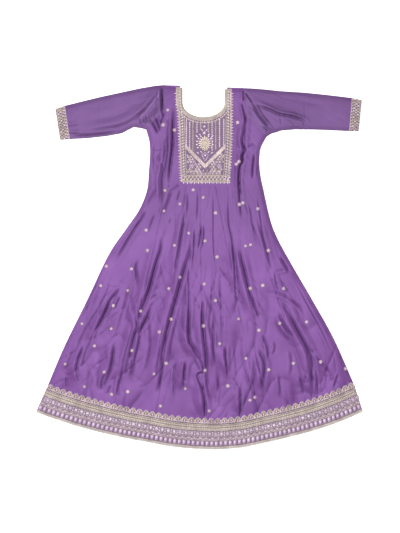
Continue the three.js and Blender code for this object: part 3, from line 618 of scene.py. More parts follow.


# %% Silk satin
# Dyed silk satin: long floats of thread on the face give a soft wide sheen. The real threads are
# 0.1 mm apart, too fine to show, so the weave is drawn as slubs 1.6 mm wide and 40 mm long, which
# run down the piece.
# The cloth's colour is multiplied by two tones, both painted shade: one darkens the creases, and
# "upper" tints the cloth slightly darker and greyer from the frame's middle to 260 mm above it, and
# fully above that.
def make_satin(name, dark, mid, light, upper="#ffffff"):
    material, tree, shader = new_material(name, {
        "Roughness": 0.4, "Specular IOR Level": 0.52, "Specular Tint": light_of("#c79be6"),
        "Sheen Weight": 0.12, "Sheen Roughness": 0.5, "Sheen Tint": light_of("#c9a9e6")})
    place = add(tree, "ShaderNodeTexCoord").outputs["Object"]
    cloud = add(tree, "ShaderNodeTexNoise",
                {"Vector": place, "Scale": 7.0, "Detail": 3.0, "Roughness": 0.55})
    colour = colour_steps(tree, cloud.outputs["Fac"], [(0.25, dark), (0.5, mid), (0.75, light)])
    cut = add(tree, "ShaderNodeUVMap", uv_map="cut").outputs["UV"]
    stretched = add(tree, "ShaderNodeMapping", {"Vector": cut, "Scale": (640.0, 25.0, 1.0)})
    slub = add(tree, "ShaderNodeTexNoise",
               {"Vector": stretched.outputs["Vector"], "Scale": 1.0, "Detail": 2.0})
    colour = blended(tree, "MULTIPLY", slub.outputs["Fac"], colour, (0.93, 0.92, 0.95, 1))
    # Painted shade: the satin's colour darkens as deep as each place lies in a crease.
    painted_crease_shade = add(tree, "ShaderNodeAttribute", attribute_name="painted_crease_shade").outputs["Fac"]
    # Painted shade: the upper half of the garment is tinted slightly darker and greyer.
    height = add(tree, "ShaderNodeSeparateXYZ", {"Vector": place}).outputs["Y"]
    rise = add(tree, "ShaderNodeMapRange",
               {"Value": height, "From Min": 0.0, "From Max": 0.26}).outputs["Result"]
    for tone in (colour_steps(tree, painted_crease_shade, [(0.0, "#ffffff"), (0.5, "#c8bfce"), (1.0, "#998aa2")]),
                 colour_steps(tree, rise, [(0.0, "#ffffff"), (1.0, upper)])):
        colour = blended(tree, "MULTIPLY", 1.0, colour, tone)
    tree.links.new(colour, shader.inputs["Base Color"])
    bump = add(tree, "ShaderNodeBump",
               {"Height": slub.outputs["Fac"], "Strength": 0.12, "Distance": 0.0004})
    tree.links.new(bump.outputs["Normal"], shader.inputs["Normal"])
    return material


# The satin's upper tone is painted shade, slightly darker and greyer over the upper half.
satin = make_satin("silk_satin_purple", "#502e5f", "#5a366a", "#643f75", upper="#eff8ee")
# The sleeves' satin is a darker, greyer copy of the same cloth, as painted shade.
satin_sleeve_shaded = make_satin("silk_satin_purple_sleeve_painted_shade", "#463053", "#4e365b", "#563d63")
print("satin:", satin.name, "and", satin_sleeve_shaded.name)

# %% Zari, net ground, beads and sequins
# Zari: flattened silver-gilt wire round a silk core, dull from wear. Its grain is 2.4 mm long, with
# finer grain down to 0.6 mm in it.
def make_thread(name, low, high, metallic, roughness):
    material, tree, shader = new_material(name, {"Metallic": metallic, "Roughness": roughness})
    place = add(tree, "ShaderNodeTexCoord").outputs["Object"]
    grain = add(tree, "ShaderNodeTexNoise", {"Vector": place, "Scale": 420.0, "Detail": 2.0})
    wear = add(tree, "ShaderNodeTexNoise", {"Vector": place, "Scale": 34.0, "Detail": 3.0})
    both = add(tree, "ShaderNodeMix", {"Factor": 0.5, "A": grain.outputs["Fac"], "B": wear.outputs["Fac"]},
               data_type="FLOAT")
    colour = colour_steps(tree, both.outputs[0], [(0.38, low), (0.62, high)])
    tree.links.new(colour, shader.inputs["Base Color"])
    bump = add(tree, "ShaderNodeBump",
               {"Height": grain.outputs["Fac"], "Strength": 0.35, "Distance": 0.0003})
    tree.links.new(bump.outputs["Normal"], shader.inputs["Normal"])
    return material


# Net ground: satin covered by rows of fine zari, 2.4 mm apart both ways, which greys the purple. Its
# colour changes in stripes across the piece: each stripe is a start in mm and a colour.
def stripes(tree, cut, way, length, rows):
    parts = add(tree, "ShaderNodeSeparateXYZ", {"Vector": cut})
    share = add(tree, "ShaderNodeMath", {0: parts.outputs[way], 1: 1000.0 / length},
                operation="MULTIPLY").outputs[0]
    colour = colour_steps(tree, share, [(start / length, code) for start, code in rows])
    colour.node.color_ramp.interpolation = "CONSTANT"
    return colour


def make_ground(name, way, length, rows, cross_rows=None):
    material, tree, shader = new_material(name, {"Roughness": 0.55, "Metallic": 0.1})
    cut = add(tree, "ShaderNodeUVMap", uv_map="cut").outputs["UV"]
    colour = stripes(tree, cut, way, length, rows)
    if cross_rows:
        colour = blended(tree, "LIGHTEN", 1.0, colour, stripes(tree, cut, *cross_rows))
    waves = [
        add(tree, "ShaderNodeTexWave", {"Vector": cut, "Scale": 130.0, "Distortion": 1.2, "Detail": 1.0},
            bands_direction=direction).outputs["Fac"]
        for direction in ("X", "Y")
    ]
    net = add(tree, "ShaderNodeMath", {0: waves[0], 1: waves[1]}, operation="MAXIMUM").outputs[0]
    shade = colour_steps(tree, net, [(0.35, "#c9c3cc"), (0.9, "#ffffff")])
    tree.links.new(blended(tree, "MULTIPLY", 1.0, colour, shade), shader.inputs["Base Color"])
    bump = add(tree, "ShaderNodeBump", {"Height": net, "Strength": 0.5, "Distance": 0.0005})
    tree.links.new(bump.outputs["Normal"], shader.inputs["Normal"])
    return material


zari = make_thread("zari_dull_gold", "#8f817a", "#c3b5ad", 0.12, 0.45)
zari_bright = make_thread("zari_bright_gold", "#8f826c", "#bdb098", 0.1, 0.5)
arch_ground = make_thread("arch_ground_thread", "#655952", "#857870", 0.1, 0.55)
brown_stitch = make_thread("brown_gold_stitch", "#6b5350", "#84695f", 0.05, 0.6)
zari_dark = make_thread("zari_tarnished", "#5a4858", "#7b6a70", 0.1, 0.55)
zari_seed = make_thread("seed_bead_gold", "#b3a59b", "#dacfc6", 0.2, 0.3)
bound_edge = make_thread("bound_edge_thread", "#766b63", "#948880", 0.1, 0.55)
hem_cord = make_thread("hem_cord_thread", "#8f8381", "#b8aca9", 0.1, 0.5)
pearl_thread = make_thread("silver_lilac_thread", "#a48aa6", "#c8b1c5", 0.1, 0.4)
bar_thread = make_thread("lilac_bar_thread", "#9b839c", "#b9a2b8", 0.1, 0.5)
dark_stitch = make_thread("dark_purple_stitch", "#452e4e", "#5d4065", 0.0, 0.6)
yoke_ground = make_ground("zari_ground_yoke", "X", 197, [(0, "#8f807a"), (20, "#634a67"), (177, "#8f807a")],
                          ("Y", 357, [(0, "#84756f"), (28, "#634a67"), (350, "#634a67")]))
band_ground = make_ground("zari_ground_band", "Y", 103, [
    (0, "#8e827f"), (9, "#5f4766"), (30, "#5a4562"), (31.5, "#7e6a76"), (45, "#725d76"), (67, "#544059"),
    (69, "#857873"), (90.5, "#4f3c56"), (93, "#8a7b78")])
cuff_ground = make_ground("zari_ground_cuff", "X", 36, [(0, "#6f5c6e"), (7, "#7b6f69"), (29, "#6d625e")])
# Glass seed pearls and cup sequins: a hard glossy coat over a pale body.
pearl, _, _ = new_material("glass_pearl", {"Base Color": light_of("#ccb9c8"), "Roughness": 0.25,
                                           "Coat Weight": 0.4, "Coat Roughness": 0.1})
sequin, _, _ = new_material("cup_sequin_lilac", {"Base Color": light_of("#9a839c"), "Roughness": 0.5,
                                                 "Metallic": 0.25, "Coat Weight": 0.3})
print("finishes:", len(bpy.data.materials))

# %% [markdown]
# ## Cloth pieces
#
# Each piece starts as a flat grid and is laid on the lie: a grid's own two shares, across and along,
# say where on the pattern each point is. A Solidify modifier then gives it the thickness of satin
# with its seam allowance. The grid's mapping is kept as a "cut" map in metres for the weave.

# %% Making a piece of cloth
pieces = {}
FRONT_FROM = 2.4  # what lies lower is the back, or the lower layer of a sleeve


def to_frame(xy, z):
    """Tables' mm to the frame's metres."""
    return np.column_stack([xy[:, 0] * MM, (xy[:, 1] + SHIFT_Y) * MM, np.asarray(z) * MM])


def keep(obj, node, finish):
    """Puts a piece on the root body, hides the solid of the node that it stands for, and gives it its
    finish.
    """
    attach(obj, "root")
    if node:
        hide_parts(node)
    obj.data.materials.clear()
    obj.data.materials.append(finish)
    pieces[obj.name] = obj
    return obj


def cloth(name, node, finish, size, counts, place, thickness=1.0, flat_area=None,
          upper=True):
    """size is (across, along) in mm as cut, counts the grid's cells, and place turns shares into points.

    upper is false for the pieces of the back, which get no painted crease shade.
    """
    bm = bmesh.new()
    bm.loops.layers.uv.new("cut")
    bmesh.ops.create_grid(bm, x_segments=counts[0], y_segments=counts[1], size=0.5, calc_uvs=True)
    for edge in bm.edges:
        edge.smooth = not edge.is_boundary
    mesh = bpy.data.meshes.new(name)
    bm.to_mesh(mesh)
    bm.free()
    n = len(mesh.vertices)
    co = np.zeros(n * 3)
    mesh.vertices.foreach_get("co", co)
    shares = co.reshape(-1, 3)[:, :2] + 0.5
    xy, z = place(shares[:, 0], shares[:, 1])
    mesh.vertices.foreach_set("co", to_frame(xy, z).ravel())
    # Painted shade: each point of a front piece keeps how much its colour is darkened in a crease.
    painted_shade_layer = mesh.attributes.new("painted_crease_shade", "FLOAT", "POINT")
    painted_shade_layer.data.foreach_set("value", painted_shade_at(xy) * (np.asarray(z) > FRONT_FROM) * upper)
    layer = mesh.uv_layers["cut"]
    uv = np.zeros(len(layer.data) * 2)
    layer.data.foreach_get("uv", uv)
    uv = uv.reshape(-1, 2) * np.array(size) * MM
    layer.data.foreach_set("uv", uv.ravel())
    mesh.polygons.foreach_set("use_smooth", [True] * len(mesh.polygons))
    mesh.update()
    obj = bpy.data.objects.new(name, mesh)
    bpy.context.scene.collection.objects.link(obj)
    shell = obj.modifiers.new("cloth thickness", "SOLIDIFY")
    shell.thickness, shell.offset = thickness * MM, -1
    keep(obj, node, finish)
    return obj


def edge_rows(left, right, smooth_edges=(False, False)):
    """A place function between two edges that run from the hem side to the neck side."""
    lines = [curve_through(e, 6) if s else np.array(e, float) for e, s in zip((left, right), smooth_edges)]

    def rows(u, v):
        a, b = along(lines[0], v), along(lines[1], v)
        straight = mix(a, b, u[:, None])
        (ra, ta), (rb, tb) = flare_of(a), flare_of(b)
        arc = flare_point(mix(ra, rb, u), mix(ta, tb, u))
        low = np.maximum(a[:, 1], b[:, 1])
        return droop(mix(straight, arc, smooth((WAIST_Y - 10 - low) / 60)[:, None]))

    return rows


def on_front(rows):
    return lambda u, v: ((xy := rows(u, v)), lie(xy))


def on_back(rows):
    return lambda u, v: ((xy := rows(u, v)), BACK_TOP + back_lift(xy))


# %% Skirt and side panels, front and back
def cells(length, cell=CELL):
    return max(2, round(length / cell))


flare_seams = [seam_ends(s) for s in SKIRT_SEAMS]
side_edges = {
    "left": (SIDE_LEFT, [flare_seams[0][0], flare_seams[0][1], *BODICE_LEFT[1:5]], (True, False)),
    "right": ([flare_seams[4][0], flare_seams[4][1], *BODICE_RIGHT[1:5]], SIDE_RIGHT, (False, True)),
}
side_sizes = {"left": (255, 1110, 0.158), "right": (215, 1080, 0.104)}
for hand, (left, right, smooth_edges) in side_edges.items():
    width, length, area = side_sizes[hand]
    rows = edge_rows(left, right, smooth_edges)
    under = f"back_side_{hand}"
    cloth(f"cloth_{under}", under, satin, (width, length),
          (cells(width, BACK_CELL), cells(length, BACK_CELL)), on_back(rows), flat_area=area,
          upper=False)
    cloth(f"cloth_front_side_{hand}", f"front_side_{hand}", satin, (width, length),
          (cells(width), cells(length)), on_front(rows), flat_area=area)
kali_sizes = [(170, 885, 0.1), (178, 875, 0.1), (207, 875, 0.115), (212, 885, 0.13)]
for k, (width, length, area) in enumerate(kali_sizes):
    rows = edge_rows(flare_seams[k], flare_seams[k + 1])
    cloth(f"cloth_front_kali_{k + 1}", f"front_kali_{k + 1}", satin, (width, length),
          (cells(width), cells(length)), on_front(rows), flat_area=area)
back_kalis = (("left", (0, 2), (340, 885, 0.2)), ("right", (2, 4), (415, 885, 0.24)))
for hand, (a, b), (width, length, area) in back_kalis:
    rows = edge_rows(flare_seams[a], flare_seams[b])
    cloth(f"cloth_back_kali_{hand}", f"back_kali_{hand}", satin, (width, length),
          (cells(width, BACK_CELL), cells(length, BACK_CELL)), on_back(rows), flat_area=area,
          upper=False)
print("pieces so far:", len(pieces))

# %% [markdown]
# The bodice has the round neck cut out of it. A cutter in the neck's outline, extruded from a ring of
# points, takes it out of the finished wall, which keeps the grid around it even.

# %% Bodices with the neck cut out
CUTTER_FOOT, CUTTER_HEIGHT = -30.0, 90.0  # well past the cloth on both sides


def neck_cutter(deeper):
    bm = bmesh.new()
    ring = neck_line(NECK["rim"] - 1.5, deeper)
    ring = np.vstack([[ring[0] + (0, 60)], ring, [ring[-1] + (0, 60)]])
    low = [bm.verts.new(p) for p in to_frame(ring, np.full(len(ring), CUTTER_FOOT))]
    face = bm.faces.new(low)
    grown = bmesh.ops.extrude_face_region(bm, geom=[face])["geom"]
    raised = [g for g in grown if isinstance(g, bmesh.types.BMVert)]
    bmesh.ops.translate(bm, verts=raised, vec=(0, 0, CUTTER_HEIGHT * MM))
    bmesh.ops.recalc_face_normals(bm, faces=bm.faces)
    mesh = bpy.data.meshes.new("neck cutter")
    bm.to_mesh(mesh)
    bm.free()
    cutter = bpy.data.objects.new("neck_cutter", mesh)
    bpy.context.scene.collection.objects.link(cutter)
    return cutter


def settle_modifiers(obj):
    """Turns a piece's modifiers into its own mesh."""
    depsgraph = bpy.context.evaluated_depsgraph_get()
    made = bpy.data.meshes.new_from_object(obj.evaluated_get(depsgraph), depsgraph=depsgraph)
    obj.modifiers.clear()
    obj.data = made


def cut_neck(obj, deeper):
    cutter = neck_cutter(deeper)
    cut = obj.modifiers.new("neck", "BOOLEAN")
    cut.operation, cut.solver, cut.object = "DIFFERENCE", "EXACT", cutter
    settle_modifiers(obj)
    bpy.data.objects.remove(cutter)


bodice_rows = edge_rows(BODICE_LEFT, BODICE_RIGHT)
for side, laid, cell, deeper, under in (("front", on_front, CELL, 0.0, "back_bodice"),
                                        ("back", on_back, BACK_CELL, BACK_NECK_DEEPER, "floor")):
    body = cloth(f"cloth_{side}_bodice", f"{side}_bodice", satin, (300, 372),
                 (cells(300, cell), cells(372, cell)), laid(bodice_rows), flat_area=0.088,
                 upper=side == "front")
    cut_neck(body, deeper)
    print(body.name, len(body.data.polygons), "faces after the neck is cut")

# %% [markdown]
# The neck's raw edge is bound with a strip cut on the bias, which bends round the curve without a
# pleat. Its grid runs along the neck line and rises to a soft crown across.

# %% Bound neck edge
def binding(deeper, lift, crown):
    inner, outer = neck_line(-0.3, deeper), neck_line(NECK["rim"], deeper)

    def place(u, v):
        xy = mix(along(inner, v), along(outer, v), u[:, None])
        return xy, lift(xy) + crown * np.sin(math.pi * u)
    return place


cloth("cloth_neck_binding_front", "neck_binding_front", bound_edge, (10, 380), (5, 110),
      binding(0.0, lambda xy: lie(xy) + 0.4, 1.3), flat_area=0.0034)
cloth("cloth_neck_binding_back", "neck_binding_back", bound_edge, (10, 392), (5, 80),
      binding(BACK_NECK_DEEPER, lambda xy: 1.3 + 0 * xy[:, 0], 0.4), flat_area=0.0035)
print("pieces so far:", len(pieces))

# %% [markdown]
# ## Sleeves and cuffs
#
# A sleeve laid flat is a tube pressed to two layers with a soft fold along each edge. Its grid runs
# once round the tube: the upper layer follows the lie of the front and the lower one the table, and
# the points crowd towards the two folds so that they turn round and aren't sharp.

# %% Flat tubes
TUBE_MIDDLE = 1.45  # height of the two soft folds
TUBE_ROUND = 1.6  # how far in from a fold the layers come apart


def tube_place(sections):
    keys = {k: np.array([s[k] for s in sections], float) for k in ("top", "bend", "under")}
    stations = np.linspace(0, 1, len(sections))

    def at(key, t):
        line = keys[key]
        return np.stack([np.interp(t, stations, line[:, k]) for k in (0, 1)], axis=1)

    def place(u, v):
        up = v <= 0.5
        turn = np.where(up, 2 * v, 2 - 2 * v)
        c = 0.5 - 0.5 * np.cos(math.pi * turn)
        top, bend, under = at("top", u), at("bend", u), at("under", u)
        upper = mix(top, bend, (c / BEND_SHARE)[:, None])
        lower = mix(bend, under, ((c - BEND_SHARE) / (1 - BEND_SHARE))[:, None])
        xy = np.where((c <= BEND_SHARE)[:, None], upper, lower)
        span = np.linalg.norm(under - top, axis=1)
        inside = np.clip(np.minimum(c, 1 - c) * span / TUBE_ROUND, 0, 1)
        round_off = np.sqrt(1 - (1 - inside) ** 2)
        face = np.where(up, lie(xy), FLOOR_AIR + back_lift(xy))
        z = TUBE_MIDDLE + (face - TUBE_MIDDLE) * round_off
        return xy, z
    return place


def tube(name, node, finish, size, counts, sections, flip, area):
    place = tube_place(sections)
    sheet_place = (lambda u, v: place(1 - u, v)) if flip else place
    obj = cloth(name, node, finish, size, counts, sheet_place, thickness=0.9, flat_area=area)
    bm = bmesh.new()
    bm.from_mesh(obj.data)
    bmesh.ops.remove_doubles(bm, verts=bm.verts, dist=2e-5)
    for edge in bm.edges:
        edge.smooth = not edge.is_boundary
    bm.to_mesh(obj.data)
    bm.free()
    return obj


SLEEVE_CELL = 3.4
tube("cloth_sleeve_left", "sleeve_left", satin_sleeve_shaded, (340, 315),
     (cells(340, SLEEVE_CELL), 108), SLEEVE_LEFT, False, 0.098)
tube("cloth_sleeve_right", "sleeve_right", satin_sleeve_shaded, (360, 305),
     (cells(360, SLEEVE_CELL), 108), SLEEVE_RIGHT, True, 0.1)
tube("cloth_cuff_left", "cuff_left", cuff_ground, (36, 245), (10, 90), CUFF_LEFT, False, 0.0087)
tube("cloth_cuff_right", "cuff_right", cuff_ground, (37, 245), (10, 90), CUFF_RIGHT, True, 0.0088)
print("pieces so far:", len(pieces))

# %% [markdown]
# ## Hem bands
#
# The hem band is a curved strip, struck from the same centre as the flare. The front one follows the
# lie of the front. The back one is flat on the table, under it.

# %% Hem bands
def band_xy(s, r):
    """A place on the hem band: share s from its left end, and depth r in mm below its top."""
    ends = [(flare_of(SIDE_LEFT[0])[1], hem_corner(-1)), (flare_of(SIDE_RIGHT[0])[1], hem_corner(1))]
    down = np.asarray(r) / BAND
    left, right = (mix(a, b, down) for a, b in ends)
    return droop(flare_point(BAND_RADIUS + np.asarray(r), mix(left, right, np.asarray(s))))


BAND_LENGTH = 1206.0
BACK_BAND_TOP, BACK_BAND_FOOT = 1.4, 0.75  # its two faces, flat on the table


def band_rows(u, v):
    return band_xy(u, BAND * (1 - v))


cloth("cloth_hem_band_front", "hem_band_front", band_ground, (BAND_LENGTH, BAND),
      (cells(BAND_LENGTH, 4), 26), on_front(band_rows), flat_area=0.123)
cloth("cloth_hem_band_back", "hem_band_back", band_ground, (BAND_LENGTH, BAND),
      (cells(BAND_LENGTH, BACK_CELL), 12), lambda u, v: (band_rows(u, v), BACK_BAND_TOP + 0 * u),
      thickness=0.6, flat_area=0.123)
print("cloth pieces:", len(pieces))

# %% [markdown]
# ## Embroidery
#
# Zari work is thread laid on the cloth and sewn down, with padded satin-stitch petals, seed beads,
# pearls and sequins between. A motif is drawn once in the flat and then mapped onto its piece: a
# thread becomes a bevelled curve, a patch of close stitches is a thin plate that follows the cloth,
# and a petal or bead is one small form repeated at each place with its own length, width and slope.
# Thousands of separate objects would be slow, so each kind on each piece becomes one mesh.

# %% Threads, and forms that repeat
def small_form(kind):
    """Vertices and faces of one small form, about one unit in size."""
    bm = bmesh.new()
    if kind == "petal":  # pointed at both ends, lies along X
        bmesh.ops.create_uvsphere(bm, u_segments=6, v_segments=4, radius=0.5,
                                  matrix=Matrix.Rotation(math.pi / 2, 4, "Y"))
        for v in bm.verts:
            v.co.y *= 1 - 0.5 * abs(2 * v.co.x) ** 2
    elif kind == "pearl":
        bmesh.ops.create_icosphere(bm, subdivisions=2, radius=0.5)
    elif kind == "seed":
        bmesh.ops.create_icosphere(bm, subdivisions=1, radius=0.5)
    elif kind == "sequin":
        bmesh.ops.create_cone(bm, cap_ends=True, segments=10, radius1=0.5, radius2=0.36, depth=0.7)
    elif kind == "bar":  # a padded bar with rounded ends, lies along X
        turns = np.linspace(0, 2 * math.pi, 16, endpoint=False)
        soft = [(abs(math.cos(t)) ** 0.5 * math.copysign(0.5, math.cos(t)),
                 abs(math.sin(t)) ** 0.5 * math.copysign(0.5, math.sin(t))) for t in turns]
        top = bm.faces.new([bm.verts.new((x, y, -0.5)) for x, y in soft])
        for z, share in ((0.1, 1.0), (0.5, 0.68)):
            grown = bmesh.ops.extrude_face_region(bm, geom=[top])["geom"]
            top = next(g for g in grown if isinstance(g, bmesh.types.BMFace))
            for v, (x, y) in zip(top.verts, soft):
                v.co = (x * (0.5 + 0.5 * share), y * share, z)
        bmesh.ops.recalc_face_normals(bm, faces=bm.faces)
    bmesh.ops.triangulate(bm, faces=bm.faces)
    bm.verts.ensure_lookup_table()
    verts = np.array([v.co for v in bm.verts])
    faces = np.array([[v.index for v in f.verts] for f in bm.faces])
    bm.free()
    return verts, faces


FORMS = {kind: small_form(kind) for kind in ("petal", "pearl", "seed", "sequin", "bar")}


def repeat_form(name, kind, rows, to_cloth, thick, finish, turn=1):
    """rows are (x0, y0, x1, y1, width): the form runs from the first place to the second."""
    rows = np.array(rows, float)
    start, end, width = rows[:, 0:2], rows[:, 2:4], rows[:, 4]
    middle = (start + end) / 2
    run = end - start
    square_to_run = np.column_stack([-run[:, 1], run[:, 0]])
    across = square_to_run / np.linalg.norm(run, axis=1)[:, None] * width[:, None] / 2
    p0, p1, s0, s1 = (to_cloth(q) for q in (start, end, middle - across, middle + across))
    along_axis, across_axis = p1 - p0, s1 - s0
    up = np.cross(along_axis, across_axis)
    up = up / np.linalg.norm(up, axis=1)[:, None] * turn
    height = thick if thick else width
    up_axis = up * (np.broadcast_to(height, width.shape)[:, None])
    centre = (p0 + p1) / 2 + up_axis * (0.5 - SEWN_IN)
    verts, faces = FORMS[kind]
    placed = (centre[:, None, :] + verts[None, :, 0:1] * along_axis[:, None, :]
              + verts[None, :, 1:2] * across_axis[:, None, :] * turn
              + verts[None, :, 2:3] * up_axis[:, None, :])
    co = placed.reshape(-1, 3)
    co[:, 2] = np.maximum(co[:, 2], 0.02)  # nothing sinks into the table
    corner = (faces[None, :, :] + len(verts) * np.arange(len(rows))[:, None, None]).reshape(-1)
    mesh = bpy.data.meshes.new(name)
    mesh.vertices.add(len(co))
    mesh.vertices.foreach_set("co", to_frame(co[:, :2], co[:, 2]).ravel())
    mesh.loops.add(len(corner))
    mesh.loops.foreach_set("vertex_index", corner)
    mesh.polygons.add(len(corner) // 3)
    mesh.polygons.foreach_set("loop_start", np.arange(0, len(corner), 3))
    mesh.polygons.foreach_set("use_smooth", [kind != "sequin"] * (len(corner) // 3))
    mesh.update(calc_edges=True)
    obj = bpy.data.objects.new(name, mesh)
    bpy.context.scene.collection.objects.link(obj)
    return keep(obj, None, finish)


def lay_threads(name, lines, to_cloth, thickness, finish, lift=0.25):
    """Each line of places becomes one round thread; a closed line ends where it began."""
    curve = bpy.data.curves.new(name, "CURVE")
    curve.dimensions = "3D"
    curve.bevel_depth, curve.bevel_resolution = thickness / 2 * MM, 1
    curve.use_fill_caps = True
    counts = [len(line) for line in lines]
    laid = to_cloth(np.vstack(lines))
    laid = to_frame(laid[:, :2], laid[:, 2] + lift)
    first = 0
    for count in counts:
        spline = curve.splines.new("POLY")
        spline.points.add(count - 1)
        with_weight = np.column_stack([laid[first:first + count], np.ones(count)])
        spline.points.foreach_set("co", with_weight.ravel())
        first += count
    drawn = bpy.data.objects.new(name, curve)
    bpy.context.scene.collection.objects.link(drawn)
    depsgraph = bpy.context.evaluated_depsgraph_get()
    mesh = bpy.data.meshes.new_from_object(drawn.evaluated_get(depsgraph), depsgraph=depsgraph)
    bpy.data.objects.remove(drawn)
    mesh.polygons.foreach_set("use_smooth", [True] * len(mesh.polygons))
    obj = bpy.data.objects.new(name, mesh)
    bpy.context.scene.collection.objects.link(obj)
    return keep(obj, None, finish)


def lay_patches(name, outlines, to_cloth, thickness, finish, turn=1):
    """Patches of close stitches that follow the cloth; each outline is a ring of places."""
    outlines = np.array(outlines, float)
    count, m = outlines.shape[:2]
    middle = outlines.mean(axis=1, keepdims=True)
    places = np.concatenate([outlines, mix(middle, outlines, 0.5), middle, outlines], axis=1)
    co = to_cloth(places.reshape(-1, 2)).reshape(count, 3 * m + 1, 3)
    co[:, :2 * m + 1, 2] += (1 - SEWN_IN) * turn * thickness
    co[:, 2 * m + 1:, 2] -= SEWN_IN * turn * thickness  # the last ring is the foot of the patch's edge
    bm = bmesh.new()
    for patch in co:
        verts = [bm.verts.new(p) for p in to_frame(patch[:, :2], patch[:, 2])]
        for i in range(m):
            j = (i + 1) % m
            bm.faces.new((verts[i], verts[j], verts[m + j], verts[m + i]))
            bm.faces.new((verts[m + i], verts[m + j], verts[2 * m]))
            bm.faces.new((verts[2 * m + 1 + i], verts[2 * m + 1 + j], verts[j], verts[i]))
    bmesh.ops.recalc_face_normals(bm, faces=bm.faces)
    bmesh.ops.triangulate(bm, faces=bm.faces)
    mesh = bpy.data.meshes.new(name)
    bm.to_mesh(mesh)
    bm.free()
    obj = bpy.data.objects.new(name, mesh)
    bpy.context.scene.collection.objects.link(obj)
    return keep(obj, None, finish)


# %% Small figures that the motifs are made of
def straight(x0, y0, x1, y1, step=5.0):
    count = max(2, int(math.hypot(x1 - x0, y1 - y0) / step) + 1)
    return np.column_stack([np.linspace(x0, x1, count), np.linspace(y0, y1, count)])


def arch(x, y, half, rise, steps=10):
    """Half a ring standing on y, from its left foot to its right; rise may be negative."""
    t = np.linspace(math.pi, 0, steps + 1)
    return np.column_stack([x + half * np.cos(t), y + rise * np.sin(t)])


def ring(x, y, radius, steps=12):
    t = np.linspace(0, 2 * math.pi, steps + 1)
    return np.column_stack([x + radius * np.cos(t), y + radius * np.sin(t)])


def fan(x, y, first, last, count, near, far, width):
    """Petals spread from one place, between two directions in degrees, from near to far out."""
    turns = np.radians(np.linspace(first, last, count))
    return [(x + near * c, y + near * s, x + far * c, y + far * s, width)
            for c, s in zip(np.cos(turns), np.sin(turns))]


def bead(x, y, size):
    return (x - size / 2, y, x + size / 2, y, size)


def beads_on(line, pitch, size):
    line = np.asarray(line, float)
    length = np.linalg.norm(np.diff(line, axis=0), axis=1).sum()
    places = along(line, (np.arange(max(1, int(length / pitch))) + 0.5) / max(1, int(length / pitch)))
    return [bead(x, y, size) for x, y in places]


# Each kind of work: its form, its thickness in mm (none for a round bead) and its finish.
WORK_FINISH = {
    "gold": ("thread", 1.3, zari), "fine_gold": ("thread", 0.8, zari), "dark": ("thread", 1.1, zari_dark),
    "lilac": ("thread", 1.2, pearl_thread), "cord": ("thread", 2.1, hem_cord),
    "patch": ("patch", 0.5, arch_ground), "bar": ("bar", 1.5, bar_thread),
    "brown_petal": ("petal", 1.4, brown_stitch), "gold_disc": ("sequin", 0.9, bound_edge),
    "gold_petal": ("petal", 1.5, zari), "bright_petal": ("petal", 1.7, zari_bright),
    "pale_petal": ("petal", 1.6, pearl_thread), "dark_dot": ("sequin", 0.6, dark_stitch),
    "pearl": ("pearl", None, pearl), "seed": ("seed", None, zari_seed), "sequin": ("sequin", 0.9, sequin),
}


def new_work():
    return {kind: [] for kind in WORK_FINISH}


def sew(place_name, work, to_cloth, turn=1, flat=1.0):
    """Makes all the pieces of one motif sheet; turn is -1 on cloth that faces the table."""
    total = 0
    for kind, rows in work.items():
        if not len(rows):
            continue
        form, thick, finish = WORK_FINISH[kind]
        name = f"{place_name}_{kind}"
        if form == "thread":
            obj = lay_threads(name, rows, to_cloth, thick * flat, finish, lift=0.25 * turn)
        elif form == "patch":
            obj = lay_patches(name, rows, to_cloth, thick * flat, finish, turn)
        else:
            height = thick * flat if thick else None
            obj = repeat_form(name, form, rows, to_cloth, height, finish, turn)
        total += len(obj.data.polygons)
    print(place_name, "faces:", total)

# %% [markdown]
# ### Hem band
#
# From the top down: closely stitched arches with a fan of leaves on each, a flat gold braid, a lattice
# with ringed discs, small arches, a row of upright lilac bars, and the corded hem itself. The motif is
# drawn in mm along the band and below its top, and the band's own rows bend it round the flare. The
# leaves are kept apart, because they stand 0.9 mm above the cloth, on the arches. The back's band has
# only the large forms.

# %% Hem band's motif
ARCHES, BRAID_STITCHES, LATTICE, BARS = 48, 190, 55, 72  # how many of each lie along the hem
HEM_LINES = [
    (11.4, "dark"), (13.0, "gold"), (14.5, "gold"), (16.0, "dark"), (24.4, "dark"), (33.2, "gold"),
    (34.7, "gold"), (36.2, "dark"), (57.2, "fine_gold"), (58.6, "dark"), (71.6, "gold"), (73.0, "dark"),
    (92.0, "dark"), (94.0, "gold"),
]
HEM_CORDS = (96.3, 98.4, 100.4, 102.1)
LEAF_LIFT = 0.9  # the leaves stand on the arches


